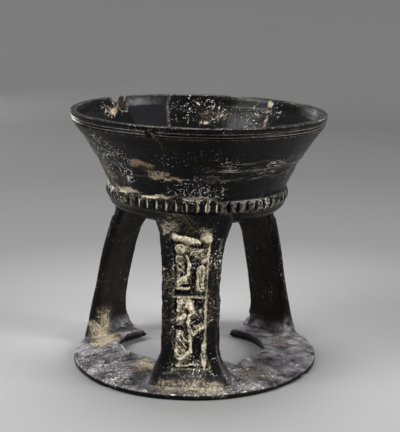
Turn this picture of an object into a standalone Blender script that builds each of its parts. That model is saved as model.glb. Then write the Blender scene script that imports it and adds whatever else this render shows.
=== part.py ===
# Three-legged chalice of black fired clay, luted and fired as one piece: a flaring bowl with a
# notched ridge, three strap legs with relief panels, and a flat ring foot whose back is lost.
# Metres, +Z up, front leg on -Y, standing on the plane z = 0.
import math

import bmesh
import bpy
from mathutils import Matrix, Vector

for item in list(bpy.data.objects):
    bpy.data.objects.remove(item, do_unlink=True)

# Lean of the bowl and the legs to the right of the foot, the bowl's offset from its axis, and
# the share of a leg's height by which it has the whole lean
LEAN = math.radians(1.45)
BOWL_OFFSET = -0.0010
LEAN_SHARE = 0.4

# Bowl, with heights along its own axis from the ground
RIM_HEIGHT = 0.1535
RIM_RADIUS = 0.0760
LIP_BAND = 0.0056
LIP_BAND_LEAN = 0.0012
LIP_THICKNESS = 0.0040
LIP_ROUND = 0.0010
WALL_THICKNESS = 0.0046
WALL_FOOT_RADIUS = 0.0530
WALL_HOLLOW = 0.0016
FLOOR_THICKNESS = 0.0060
FLOOR_CORNER = 0.0140
WALL_START = 0.0030
BELLY_DEPTH = 0.0122
BELLY_STEPS = 4
BOWL_COLUMNS = 56

# Notched ridge round the foot of the wall; one column of the bowl carries one tooth between two
# notches, and RIDGE_TURN sets the notch beside the front leg
RIDGE_HEIGHT = 0.1063
RIDGE_TALL = 0.0078
RIDGE_TURN = math.radians(1.9)
TOOTH_REACH = 0.0013
TOOTH_ROOT = 0.0006
TOOTH_LOW = 0.22
TOOTH_HIGH = 0.70
NOTCH_SHARE = 0.24
RIDGE_LINE_REACH = 0.0006
RIDGE_LINE_TALL = 0.0014

# Incised lines on the lip band and low steps on the wall, by depth under the rim
LINE_DROPS = (0.0033, 0.0052)
LINE_WIDTH = 0.0009
LINE_DEPTH = 0.0004
STEP_DROPS = (0.0258, 0.0312)
STEP_WIDTH = 0.0008
STEP_DEPTH = 0.0005

# Ring foot, with an oval hole whose edge stands a little higher in front than at the back
FOOT_RADIUS = 0.0746
HOLE_FRONT = 0.0360
HOLE_SIDE = 0.0437
HOLE_BACK = 0.0385
FOOT_EDGE = 0.0034
FOOT_RISE = 0.0075
FOOT_SAG = 0.0008
FOOT_PLATE = 0.0055
FOOT_BAND = 0.0040
FOOT_ROUND = 0.0010
FOOT_COLUMNS = 54

# Worn chip of the hole's edge by the left leg
CHIP_MIDDLE = math.radians(-100)
CHIP_HALF_WIDTH = math.radians(24)
CHIP_CORE = math.radians(8)
CHIP_DEPTH = 0.0034

# Notch of the hole's edge to the right of the front leg: its two sides, its deepest place and depth
NOTCH_START = math.radians(34.4)
NOTCH_DEEPEST = math.radians(36.2)
NOTCH_END = math.radians(44.5)
NOTCH_DEPTH = 0.0072

# Broken ends of the foot on either side of the lost back, by distance inwards from the foot's
# edge and degrees from the front, and how far each broken face runs on for its height
LEFT_BREAK = (
    (0.0406, -133.0),
    (0.0341, -130.5),
    (0.0316, -125.5),
    (0.0246, -126.0),
    (0.0176, -131.0),
    (0.0076, -137.0),
    (-0.0154, -143.0),
)
RIGHT_BREAK = (
    (0.0406, 143.0),
    (0.0341, 142.6),
    (0.0316, 139.5),
    (0.0246, 140.5),
    (0.0166, 144.0),
    (0.0076, 148.5),
    (-0.0154, 154.0),
)
LEFT_BREAK_SLANT = 0.65
RIGHT_BREAK_SLANT = 0.75

# Legs: azimuth from the front, middle of the strap at the foot, its width, its flare there
# and how tall that flare is
LEGS = {
    "front": (0.0, 0.0600, 0.0314, 0.0215, 0.0240),
    "left": (math.radians(-119.6), 0.0668, 0.0316, 0.0085, 0.0150),
    "right": (math.radians(131.4), 0.0650, 0.0326, 0.0085, 0.0150),
}
LEG_TOP_RADIUS = 0.0438
LEG_CURVE = 1.5
LEG_THICKNESS = 0.0058
LEG_EDGE_WIDTH = 0.0022
LEG_EDGE_DROP = 0.0012
LEG_SEAT = 0.0020
LEG_FLATNESS = math.radians(3.0)
TOP_FLARE = 0.0150
TOP_FLARE_CURVE = 7.0
FOOT_FLARE_CURVE = 1.7
SPREAD_OUT = 0.0054
SPREAD_OUT_TALL = 0.0320
SPREAD_OUT_CURVE = 1.3
SPREAD_IN = 0.0055
SPREAD_CORNER = 0.0044
SPREAD_TALL = 0.0125
SPREAD_TOP_OUT = 0.0062
SPREAD_TOP_IN = 0.0030

# Height under which and over which a leg's strap bends round the axis instead of lying flat
BEND_LOW = 0.0250
BEND_HIGH = 0.0550

# Relief panel of a leg: two registers, one over the other, inside a plain frame
FRAME_WIDTH = 0.0066
PANEL_BOTTOM = 0.0150
PANEL_TOP = 0.0868
PANEL_DEPTH = 0.0021
PANEL_BEVEL = 0.0009
DIVIDER_HEIGHT = 0.0516
DIVIDER_TALL = 0.0028
LEDGE_DEPTH = 0.0007
GROUND_DEPTH = 0.0004

# Strokes of the figures in millimetres across the panel and up from the ground: start, end,
# half width at the start and at the end, and height as a share of the panel's depth
STANDING_FIGURE = (
    ("slanting band", -11.0, 85.0, 4.4, 82.4, 1.9, 2.2, 0.95),
    ("corner leaf", 8.2, 87.5, 10.4, 82.5, 3.0, 1.6, 0.80),
    ("head", -7.0, 78.0, -6.4, 78.6, 4.0, 4.0, 1.00),
    ("wing", 1.0, 75.0, 6.8, 77.6, 3.0, 2.0, 0.85),
    ("arm", 4.6, 69.8, 10.0, 72.0, 1.9, 1.9, 0.85),
    ("side of the robe", -2.6, 73.6, -1.4, 62.0, 1.3, 2.0, 1.00),
    ("chest", -7.4, 70.4, -5.4, 63.4, 2.8, 3.2, 0.75),
    ("skirt", -3.4, 61.2, -7.6, 57.9, 1.6, 2.8, 1.00),
    ("feet", -8.6, 55.6, -0.8, 55.6, 1.8, 1.6, 0.85),
    ("pillar", 1.8, 66.0, 2.2, 55.5, 2.0, 2.2, 0.50),
    ("staff", 5.4, 62.8, 6.2, 55.8, 1.7, 2.7, 0.80),
)
STRIDING_FIGURE = (
    ("shoulder", -5.6, 49.0, -6.5, 44.6, 1.9, 1.5, 0.70),
    ("head", 0.3, 47.6, 1.6, 43.0, 1.9, 2.7, 1.00),
    ("hand", -3.6, 40.6, -8.4, 36.6, 2.5, 1.5, 0.90),
    ("neck", 0.8, 41.0, -0.8, 36.4, 1.5, 1.4, 0.80),
    ("belt", -0.6, 35.0, 2.6, 31.6, 1.5, 1.7, 0.80),
    ("branch", 3.0, 32.0, 9.4, 36.0, 1.8, 1.7, 0.80),
    ("skirt", -4.8, 31.4, -5.2, 22.6, 4.2, 5.4, 0.85),
    ("edge of the skirt", -0.8, 30.2, 0.2, 22.2, 1.6, 1.8, 1.00),
    ("stump", 7.8, 24.4, 8.1, 16.8, 2.2, 2.4, 0.80),
)
PLAIN_FIGURE = (
    ("head", 0.0, 78.4, 0.0, 79.0, 4.2, 4.2, 1.00),
    ("robe", 0.0, 71.0, 0.0, 57.6, 4.4, 6.6, 0.90),
    ("lower head", 0.0, 43.6, 0.0, 44.2, 4.2, 4.2, 1.00),
    ("lower robe", 0.0, 36.0, 0.0, 20.0, 4.4, 6.6, 0.90),
)
FIGURE_ROUND = 1.5

# Grid of a panel across and up each register, and the shares of the height at which the plain
# stretches under and over the panel have their rings
FRONT_COLUMNS = 16
FRONT_ROWS = 20
BACK_COLUMNS = 5
BACK_ROWS = 6
LOW_ROWS = (0.0, 0.1, 0.3, 0.5, 0.75, 1.0)
HIGH_ROWS = (0.0, 0.35, 0.65, 1.0)
EDGE_POINTS = 2

CREASE = math.radians(32)
SAME_PLACE = 1e-6


def mix(a, b, share):
    return a + (b - a) * share


def ramp(value, start, end):
    """0 before start, 1 after end and a smooth rise between them."""
    share = min(1.0, max(0.0, (value - start) / (end - start)))
    return share * share * (3.0 - 2.0 * share)


def leaned(point, share):
    """Turns a point about the foot's centre by a share of the lean."""
    turned = Matrix.Rotation(LEAN * share, 3, "Y") @ Vector(point)
    turned.x += BOWL_OFFSET * share
    return turned


def wall_radius(z):
    """Outside of the flaring wall at a height."""
    low, high = RIDGE_HEIGHT + RIDGE_TALL / 2, RIM_HEIGHT - LIP_BAND
    share = (z - low) / (high - low)
    straight = mix(WALL_FOOT_RADIUS, RIM_RADIUS - LIP_BAND_LEAN, share)
    return straight - WALL_HOLLOW * 4 * share * (1 - share)


def belly_height(radius):
    """Underside of the bowl, a flat ellipse that springs from under the ridge."""
    spring = RIDGE_HEIGHT - RIDGE_TALL / 2 - RIDGE_LINE_TALL
    share = min(1.0, radius / (WALL_FOOT_RADIUS - RIDGE_LINE_REACH))
    return spring - BELLY_DEPTH * math.sqrt(1.0 - share * share)


def inward(radius):
    """Share of the way in from the band that the foot stands on to the hole's side edge."""
    return max(0.0, (FOOT_RADIUS - FOOT_BAND - radius) / (FOOT_RADIUS - FOOT_BAND - HOLE_SIDE))


def plate_top(radius, azimuth):
    """Upper face of the foot."""
    share = (FOOT_RADIUS - radius) / (FOOT_RADIUS - HOLE_SIDE)
    return mix(FOOT_EDGE, FOOT_RISE, share) + FOOT_SAG * inward(radius) * math.cos(azimuth)


def plate_underside(radius, azimuth):
    """Lower face of the foot, which rises inwards from the band that it stands on."""
    share = inward(radius)
    return max(0.0, share * (FOOT_RISE - FOOT_PLATE + FOOT_SAG * math.cos(azimuth)))


def new_object(name, mesh_data, parent):
    mesh = bpy.data.meshes.new(name)
    bmesh.ops.recalc_face_normals(mesh_data, faces=mesh_data.faces)
    mesh_data.to_mesh(mesh)
    mesh_data.free()
    mesh.shade_smooth()
    mesh.set_sharp_from_angle(angle=CREASE)
    item = bpy.data.objects.new(name, mesh)
    item.parent = parent
    bpy.context.collection.objects.link(item)
    return item


def loft(rings, closed=False):
    """Skins closed rings of points, and closes both ends unless the last ring meets the first."""
    bm = bmesh.new()
    loops = [[bm.verts.new(point) for point in ring] for ring in rings]
    count = len(loops[0])
    following = loops[1:] + loops[:1] if closed else loops[1:]
    for lower, upper in zip(loops, following):
        for i in range(count):
            j = (i + 1) % count
            bm.faces.new((lower[i], lower[j], upper[j], upper[i]))
    if not closed:
        bm.faces.new(list(reversed(loops[0])))
        bm.faces.new(loops[-1])
    return bm


def cut_line(middle, width, depth, outline):
    """Three points of a V-shaped line cut round an outline given as radius by height."""
    return [
        (outline(middle - width / 2), middle - width / 2),
        (outline(middle) - depth, middle),
        (outline(middle + width / 2), middle + width / 2),
    ]


def band_radius(z):
    """Outside of the steep band under the lip."""
    return mix(RIM_RADIUS - LIP_BAND_LEAN, RIM_RADIUS, (z - RIM_HEIGHT + LIP_BAND) / LIP_BAND)


def bowl_outline():
    """Half section from the underside's middle round the lip to the floor's middle."""
    belly_edge = WALL_FOOT_RADIUS - RIDGE_LINE_REACH
    ridge_low, ridge_high = RIDGE_HEIGHT - RIDGE_TALL / 2, RIDGE_HEIGHT + RIDGE_TALL / 2
    points = []
    for i in range(BELLY_STEPS + 1):
        radius = belly_edge * math.sin(math.pi / 2 * i / BELLY_STEPS)
        points.append((radius, belly_height(radius)))
    points.append((WALL_FOOT_RADIUS + RIDGE_LINE_REACH / 2, ridge_low - RIDGE_LINE_TALL / 2))
    for share in (0.0, TOOTH_LOW, TOOTH_HIGH, 1.0):
        points.append((WALL_FOOT_RADIUS - TOOTH_ROOT, mix(ridge_low, ridge_high, share)))
    points[-1] = (wall_radius(ridge_high), ridge_high)
    inset = STEP_DEPTH * (len(STEP_DROPS) % 2)
    for drop in reversed(STEP_DROPS):
        for z in (RIM_HEIGHT - drop - STEP_WIDTH / 2, RIM_HEIGHT - drop + STEP_WIDTH / 2):
            points.append((wall_radius(z) - inset, z))
            inset = STEP_DEPTH - inset if z < RIM_HEIGHT - drop else inset
    middle = RIM_HEIGHT - (min(STEP_DROPS) + LIP_BAND) / 2
    points.append((wall_radius(middle), middle))
    points.append((wall_radius(RIM_HEIGHT - LIP_BAND), RIM_HEIGHT - LIP_BAND))
    for drop in reversed(LINE_DROPS):
        points += cut_line(RIM_HEIGHT - drop, LINE_WIDTH, LINE_DEPTH, band_radius)
    points.append((RIM_RADIUS, RIM_HEIGHT - LIP_ROUND))
    points.append((RIM_RADIUS - LIP_ROUND, RIM_HEIGHT))
    points.append((RIM_RADIUS - LIP_THICKNESS + LIP_ROUND, RIM_HEIGHT))
    points.append((RIM_RADIUS - LIP_THICKNESS, RIM_HEIGHT - LIP_ROUND))
    floor = belly_height(0.0) + FLOOR_THICKNESS
    for z in (RIM_HEIGHT - LIP_BAND, floor + FLOOR_CORNER + WALL_START):
        points.append((wall_radius(z) - WALL_THICKNESS, z))
    corner_radius, corner_height = points[-1]
    for turn in (45, 90):
        side = corner_radius - FLOOR_CORNER * (1 - math.cos(math.radians(turn)))
        points.append((side, mix(corner_height, floor, math.sin(math.radians(turn)))))
    points.append((0.0, floor))
    return points


def bowl_mesh():
    """Spins the half section and cuts a tooth into each column of the ridge."""
    bm = bmesh.new()
    across, along = math.cos(RIDGE_TURN), math.sin(RIDGE_TURN)
    verts = [bm.verts.new((radius * across, radius * along, z)) for radius, z in bowl_outline()]
    edges = [bm.edges.new(pair) for pair in zip(verts, verts[1:])]
    bmesh.ops.spin(
        bm,
        geom=verts + edges,
        axis=(0, 0, 1),
        cent=(0, 0, 0),
        steps=BOWL_COLUMNS,
        angle=math.tau,
        use_merge=True,
    )
    bmesh.ops.remove_doubles(bm, verts=bm.verts, dist=SAME_PLACE)
    split = []
    for share in (TOOTH_LOW, TOOTH_HIGH):
        level = RIDGE_HEIGHT + RIDGE_TALL * (share - 0.5)
        for edge in bm.edges:
            if all(abs(vert.co.z - level) < SAME_PLACE for vert in edge.verts):
                split.append(edge)
    cut = bmesh.ops.subdivide_edges(bm, edges=split, cuts=2, use_grid_fill=True)
    pitch = math.tau / BOWL_COLUMNS
    for vert in cut["geom_inner"]:
        if isinstance(vert, bmesh.types.BMVert):
            column = (math.atan2(vert.co.y, vert.co.x) - RIDGE_TURN) / pitch
            shoulder = NOTCH_SHARE / 2 if column % 1.0 < 0.5 else 1 - NOTCH_SHARE / 2
            angle = RIDGE_TURN + (math.floor(column) + shoulder) * pitch
            reach = WALL_FOOT_RADIUS + TOOTH_REACH
            vert.co.xy = (reach * math.cos(angle), reach * math.sin(angle))
    for vert in bm.verts:
        vert.co = leaned(vert.co, 1.0)
    return bm


def hole_radius(azimuth):
    """Edge of the hole, with its chip and its notch."""
    end = HOLE_FRONT if math.cos(azimuth) > 0 else HOLE_BACK
    radius = mix(HOLE_SIDE, end, math.cos(azimuth) ** 2)
    radius += CHIP_DEPTH * (1 - ramp(abs(azimuth - CHIP_MIDDLE), CHIP_CORE, CHIP_HALF_WIDTH))
    if NOTCH_START < azimuth < NOTCH_END:
        rise = (azimuth - NOTCH_START) / (NOTCH_DEEPEST - NOTCH_START)
        fall = (NOTCH_END - azimuth) / (NOTCH_END - NOTCH_DEEPEST)
        radius += NOTCH_DEPTH * min(rise, fall)
    return radius


def foot_mesh():
    """Sweeps the foot's section round its axis."""
    azimuths = [math.tau * column / FOOT_COLUMNS - math.pi for column in range(FOOT_COLUMNS)]
    azimuths = [turn for turn in azimuths if not NOTCH_START < turn < NOTCH_END]
    azimuths += [NOTCH_START, NOTCH_DEEPEST, NOTCH_END]
    seat = FOOT_RADIUS - FOOT_BAND
    rings = []
    for azimuth in sorted(azimuths):
        hole = hole_radius(azimuth)
        section = (
            (hole, plate_top(hole, azimuth)),
            (FOOT_RADIUS - FOOT_ROUND, plate_top(FOOT_RADIUS - FOOT_ROUND, azimuth)),
            (FOOT_RADIUS, FOOT_EDGE - FOOT_ROUND),
            (FOOT_RADIUS, FOOT_ROUND),
            (FOOT_RADIUS - FOOT_ROUND, 0.0),
            (seat, 0.0),
            (hole, plate_underside(hole, azimuth)),
        )
        ring = []
        for radius, z in section:
            point = Vector((radius * math.sin(azimuth), -radius * math.cos(azimuth), z))
            ring.append(leaned(point, inward(radius)))
        rings.append(ring)
    return loft(rings, closed=True)


def lost_back_mesh():
    """The piece of the foot that is lost, as a block between its two broken faces."""
    rings = []
    for z in (-FOOT_RISE, FOOT_RISE, 2 * FOOT_RISE):
        drop = max(0.0, FOOT_RISE - z)
        ring = []
        for points, slant in ((LEFT_BREAK, -LEFT_BREAK_SLANT), (RIGHT_BREAK[::-1], RIGHT_BREAK_SLANT)):
            for inset, degrees in points:
                radius = FOOT_RADIUS - inset
                turn = math.radians(degrees) + slant * drop / radius
                ring.append((radius * math.sin(turn), -radius * math.cos(turn), z))
        rings.append(ring)
    return loft(rings)


def figure_height(figure, s, z):
    """Height of a figure over its ground at s across and z up, as a share of the panel's depth."""
    height = 0.0
    spot = Vector((s, z)) * 1000
    for _, x0, z0, x1, z1, wide0, wide1, reach in figure:
        start = Vector((x0, z0))
        run = Vector((x1, z1)) - start
        along = min(1.0, max(0.0, (spot - start).dot(run) / run.length_squared))
        off = (spot - start - run * along).length / mix(wide0, wide1, along)
        if off < 1.0:
            height = max(height, reach * (1.0 - off * off) ** FIGURE_ROUND)
    return height


def panel_sink(figure, s, z, half_panel):
    """How far a leg's face lies behind its frame at s across the panel and z up."""
    half = PANEL_BEVEL / 2
    side = 1.0 - ramp(abs(s), half_panel - half, half_panel + half)
    ends = ramp(z, PANEL_BOTTOM - half, PANEL_BOTTOM + half)
    ends *= 1.0 - ramp(z, PANEL_TOP - half, PANEL_TOP + half)
    if abs(z - DIVIDER_HEIGHT) < DIVIDER_TALL / 2 + SAME_PLACE:
        return side * ends * LEDGE_DEPTH
    return side * ends * mix(PANEL_DEPTH, GROUND_DEPTH, figure_height(figure, s, z))


def leg_rows(register_rows, base, crown):
    """Heights of a leg's rings, closer together where it flares and where its frame turns."""
    half = PANEL_BEVEL / 2
    low, high = DIVIDER_HEIGHT - DIVIDER_TALL / 2, DIVIDER_HEIGHT + DIVIDER_TALL / 2
    rows = [mix(base, PANEL_BOTTOM - half, share) for share in LOW_ROWS]
    rows += [mix(PANEL_BOTTOM + half, low - half, i / register_rows) for i in range(register_rows + 1)]
    rows += [low, high]
    rows += [mix(high + half, PANEL_TOP - half, i / register_rows) for i in range(register_rows + 1)]
    rows += [mix(PANEL_TOP + half, crown, share) for share in HIGH_ROWS]
    return rows


def leg_outline(row, base, crown, width, flare, flare_tall, figure, columns):
    """Outline of a leg's strap at a height, as distance across and distance from its middle."""
    share = (row - base) / (crown - base)
    half_width = width / 2 + TOP_FLARE / 2 * share ** TOP_FLARE_CURVE
    half_width += flare / 2 * max(0.0, 1 - (row - base) / flare_tall) ** FOOT_FLARE_CURVE
    spread_out = max(0.0, 1 - (row - base) / SPREAD_OUT_TALL) ** SPREAD_OUT_CURVE
    spread = max(0.0, 1 - (row - base) / SPREAD_TALL) ** 2
    spread_top = max(0.0, 1 - (crown - row) / SPREAD_TALL) ** 2
    front = LEG_THICKNESS / 2 + SPREAD_OUT * spread_out + SPREAD_TOP_OUT * spread_top
    back = SPREAD_IN * spread + SPREAD_TOP_IN * spread_top
    corner = SPREAD_CORNER * spread
    half_panel = min(half_width, width / 2 + LEG_EDGE_WIDTH) - FRAME_WIDTH
    inner = half_panel - PANEL_BEVEL / 2
    edge_points = [half_width - LEG_EDGE_WIDTH, half_width]
    side = [half_panel + PANEL_BEVEL / 2] + edge_points
    across = [-s for s in reversed(side)]
    across += [mix(-inner, inner, i / (columns - 1)) for i in range(columns)] + side
    outline = []
    for s in across:
        edge = LEG_EDGE_DROP if abs(s) > half_width - LEG_EDGE_WIDTH / 2 else 0.0
        outline.append((s, front - edge - panel_sink(figure, s, row, half_panel)))
    rear = [
        (half_width, LEG_EDGE_DROP - corner),
        (half_width - LEG_EDGE_DROP, -corner),
        (half_width / 2, -back),
    ]
    outline += [(s, depth - LEG_THICKNESS / 2) for s, depth in rear]
    outline += [(-s, depth - LEG_THICKNESS / 2) for s, depth in reversed(rear)]
    return outline


def leg_mesh(azimuth, foot_radius, width, flare, flare_tall, figure, columns, register_rows):
    """Skins the strap of one leg from inside the foot's plate to inside the bowl's underside."""
    base = (plate_top(foot_radius, azimuth) + plate_underside(foot_radius, azimuth)) / 2
    crown = belly_height(LEG_TOP_RADIUS) + LEG_SEAT
    rings = []
    for row in leg_rows(register_rows, base, crown):
        share = (row - base) / (crown - base)
        middle = mix(foot_radius, LEG_TOP_RADIUS, share ** LEG_CURVE)
        bend = max(ramp(row, BEND_HIGH, crown), 1 - ramp(row, base, BEND_LOW))
        ring = []
        for s, depth in leg_outline(row, base, crown, width, flare, flare_tall, figure, columns):
            radius = middle + depth
            angle = s / radius
            radial = mix(radius, radius * math.cos(angle), bend)
            side = mix(s, radius * math.sin(angle), bend)
            reach = math.hypot(radial, side)
            low = (plate_top(reach, azimuth) + plate_underside(reach, azimuth)) / 2
            high = belly_height(reach) + LEG_SEAT
            x = radial * math.sin(azimuth) + side * math.cos(azimuth)
            y = -radial * math.cos(azimuth) + side * math.sin(azimuth)
            ring.append(leaned((x, y, mix(low, high, share)), ramp(share, 0.0, LEAN_SHARE)))
        rings.append(ring)
    bm = loft(rings)
    bm.verts.index_update()
    relief = set()
    for row in range(len(LOW_ROWS) - 1, len(rings) - len(HIGH_ROWS)):
        first = row * len(rings[0]) + EDGE_POINTS
        relief.update(range(first, first + columns + 2))
    plain = [vert for vert in bm.verts if vert.index not in relief]
    edges = [edge for edge in bm.edges if not any(vert.index in relief for vert in edge.verts)]
    bmesh.ops.dissolve_limit(bm, angle_limit=LEG_FLATNESS, verts=plain, edges=edges)
    return bm


def clay():
    """Reduced, burnished black clay."""
    material = bpy.data.materials.new("bucchero")
    material.use_nodes = True
    shader = material.node_tree.nodes["Principled BSDF"]
    shader.inputs["Base Color"].default_value = (0.016, 0.015, 0.016, 1.0)
    shader.inputs["Roughness"].default_value = 0.38
    shader.inputs["Metallic"].default_value = 0.0
    material.diffuse_color = (0.05, 0.05, 0.052, 1.0)
    return material


def build():
    stand = bpy.data.objects.new("stand", None)
    bpy.context.collection.objects.link(stand)
    rim_right = leaned((RIM_RADIUS, 0.0, RIM_HEIGHT), 1.0).x
    stand.location.x = (FOOT_RADIUS - rim_right) / 2

    chalice = new_object("chalice", bowl_mesh(), stand)
    chalice.data.materials.append(clay())
    tools = [("UNION", new_object("foot_ring", foot_mesh(), stand))]
    for name, sizes in LEGS.items():
        if name == "front":
            relief = (STRIDING_FIGURE + STANDING_FIGURE, FRONT_COLUMNS, FRONT_ROWS)
        else:
            relief = (PLAIN_FIGURE, BACK_COLUMNS, BACK_ROWS)
        tools.append(("UNION", new_object(f"leg_{name}", leg_mesh(*sizes, *relief), stand)))
    tools.append(("DIFFERENCE", new_object("lost_back", lost_back_mesh(), stand)))
    for operation, tool in tools:
        tool.hide_render = True
        tool.display_type = "WIRE"
        boolean = chalice.modifiers.new(tool.name, "BOOLEAN")
        boolean.operation = operation
        boolean.solver = "EXACT"
        boolean.object = tool


build()
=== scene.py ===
# Tripod chalice of black burnished clay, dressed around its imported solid
import math

import bmesh
import bpy
import numpy as np
from mathutils import Euler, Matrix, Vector


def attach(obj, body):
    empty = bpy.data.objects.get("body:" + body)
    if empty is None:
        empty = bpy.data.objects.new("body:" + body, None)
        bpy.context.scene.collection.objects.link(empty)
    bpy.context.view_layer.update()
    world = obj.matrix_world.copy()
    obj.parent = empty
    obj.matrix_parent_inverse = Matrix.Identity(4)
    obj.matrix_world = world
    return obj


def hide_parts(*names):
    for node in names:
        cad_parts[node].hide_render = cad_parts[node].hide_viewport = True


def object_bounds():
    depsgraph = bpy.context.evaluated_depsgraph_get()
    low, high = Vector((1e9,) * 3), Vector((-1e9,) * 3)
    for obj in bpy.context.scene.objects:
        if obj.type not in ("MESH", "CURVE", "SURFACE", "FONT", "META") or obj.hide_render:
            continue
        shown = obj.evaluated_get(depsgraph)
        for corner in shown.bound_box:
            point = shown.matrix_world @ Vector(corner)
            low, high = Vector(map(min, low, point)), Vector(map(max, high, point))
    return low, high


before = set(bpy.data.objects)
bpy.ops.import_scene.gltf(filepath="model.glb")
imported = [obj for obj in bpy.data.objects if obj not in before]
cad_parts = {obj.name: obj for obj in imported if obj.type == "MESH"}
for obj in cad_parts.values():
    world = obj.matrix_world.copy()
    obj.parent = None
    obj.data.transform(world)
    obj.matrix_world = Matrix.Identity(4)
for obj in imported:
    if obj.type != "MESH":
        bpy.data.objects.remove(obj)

cadLow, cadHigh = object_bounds()

# Everything is shaped in millimetres in the foot's own frame and brought to metres at the end
clay = {
    "name": "chaliceClay",
    "lean": 1.45,  # degrees that the bowl and legs lean to the right of the foot
    "leanShare": 0.4,  # share of a leg's height by which it has the whole lean
    "bowlOffset": -1.0,
    "waviness": 0.16,  # hand-smoothed unevenness, and its size along the surface
    "wavinessSize": 13.0,
    "grain": 0.06,
    "grainSize": 2.4,
    "filletTurn": 9.0,  # degrees of a hollow corner that is smoothed like wet clay
    "filletRounds": 14,
    "standsUpTo": 0.3,  # under this height the band that it stands on stays flat
    "mostTriangles": 192000,
    "sharpTurn": 50.0,  # degrees
}
noiseTurn = np.array(Euler((0.7, 0.4, 1.1)).to_matrix())
noiseCells = 32


def mixed(a, b, share):
    return a + (b - a) * share


def rise(value, start, end):
    share = np.clip((value - start) / (end - start), 0.0, 1.0)
    return share * share * (3.0 - 2.0 * share)


def within(value, low, high, soft):
    return rise(value, low - soft, low + soft) * (1 - rise(value, high - soft, high + soft))


def noiseAt(points, size, seed):
    # Smooth random values from about -1 to 1, on a lattice turned away from the axes
    table = np.random.default_rng(seed).uniform(-1.5, 1.5, (noiseCells, noiseCells, noiseCells))
    place = points @ noiseTurn / size + 500
    cell = np.floor(place).astype(int)
    part = place - cell
    part = part * part * (3 - 2 * part)
    total = np.zeros(len(points))
    for corner in np.ndindex(2, 2, 2):
        weight = np.where(corner, part, 1 - part).prod(axis=1)
        x, y, z = ((cell + corner) % noiseCells).T
        total += weight * table[x, y, z]
    return total


def leaned(points, share):
    turn = np.radians(clay["lean"]) * share
    x = points[:, 0] * np.cos(turn) + points[:, 2] * np.sin(turn) + clay["bowlOffset"] * share
    z = points[:, 2] * np.cos(turn) - points[:, 0] * np.sin(turn)
    return np.stack((x, points[:, 1], z), axis=1)


def unleaned(points, share):
    turn = np.radians(clay["lean"]) * share
    x = points[:, 0] - clay["bowlOffset"] * share
    straightX = x * np.cos(turn) - points[:, 2] * np.sin(turn)
    return np.stack((straightX, points[:, 1], points[:, 2] * np.cos(turn) + x * np.sin(turn)), axis=1)


def reshape(bm, function):
    points = np.array([vert.co for vert in bm.verts])
    for vert, place in zip(bm.verts, function(points)):
        vert.co = place


def polar(points):
    radius = np.hypot(points[:, 0], points[:, 1])
    azimuth = np.degrees(np.arctan2(points[:, 0], -points[:, 1]))  # from the front leg, to the right
    return radius, azimuth


def fromPolar(radius, azimuth, z):
    turn = np.radians(azimuth)
    return np.stack((radius * np.sin(turn), -radius * np.cos(turn), z), axis=1)


def raggedAt(points, coarse, fine, seed, share=0.5):
    # Coarse unevenness with a share of finer unevenness on it
    return noiseAt(points, coarse, seed) + share * noiseAt(points, fine, seed + 1)


def alongRun(across, up, x0, z0, x1, z1):
    # Share of the way along a straight run that is nearest to each point, and the distance to it
    runX, runZ = x1 - x0, z1 - z0
    along = ((across - x0) * runX + (up - z0) * runZ) / (runX * runX + runZ * runZ)
    along = np.clip(along, 0.0, 1.0)
    return along, np.hypot(across - x0 - runX * along, up - z0 - runZ * along)


def lineDistance(across, up, line):
    # Distance of each point to a line of straight runs
    runs = [alongRun(across, up, *start, *end) for start, end in zip(line, line[1:])]
    return np.min([distance for _, distance in runs], axis=0)


def makeObject(name, bm):
    bmesh.ops.recalc_face_normals(bm, faces=bm.faces)
    mesh = bpy.data.meshes.new(name)
    bm.to_mesh(mesh)
    bm.free()
    item = bpy.data.objects.new(name, mesh)
    bpy.context.collection.objects.link(item)
    return item


def makeSpun(name, outline, closed, columns, function):
    # Spins an outline of (distance from the axis, height) round the axis, then shapes it
    bm = bmesh.new()
    verts = [bm.verts.new((0, -radius, z)) for radius, z in outline]
    ends = verts[1:] + verts[:1] if closed else verts[1:]
    edges = [bm.edges.new(pair) for pair in zip(verts, ends)]
    bmesh.ops.spin(
        bm,
        geom=verts + edges,
        axis=(0, 0, 1),
        cent=(0, 0, 0),
        steps=columns,
        angle=math.tau,
        use_merge=True,
    )
    bmesh.ops.remove_doubles(bm, verts=bm.verts, dist=0.001)
    if function:
        reshape(bm, function)
    return makeObject(name, bm)


def makeBlock(name, across, along, layers, function):
    # A closed block, -1 to 1 across and along and 0 to 1 through, that a function brings to shape
    bm = bmesh.new()
    bmesh.ops.create_grid(bm, x_segments=across, y_segments=along, size=1)
    raised = bmesh.ops.extrude_face_region(bm, geom=bm.faces[:])["geom"]
    raised = [item for item in raised if isinstance(item, bmesh.types.BMVert)]
    bmesh.ops.translate(bm, verts=raised, vec=(0, 0, 1))
    through = [edge for edge in bm.edges if abs(edge.verts[0].co.z - edge.verts[1].co.z) > 0.5]
    bmesh.ops.subdivide_edges(bm, edges=through, cuts=layers - 1, use_grid_fill=True)
    reshape(bm, function)
    return makeObject(name, bm)


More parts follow.
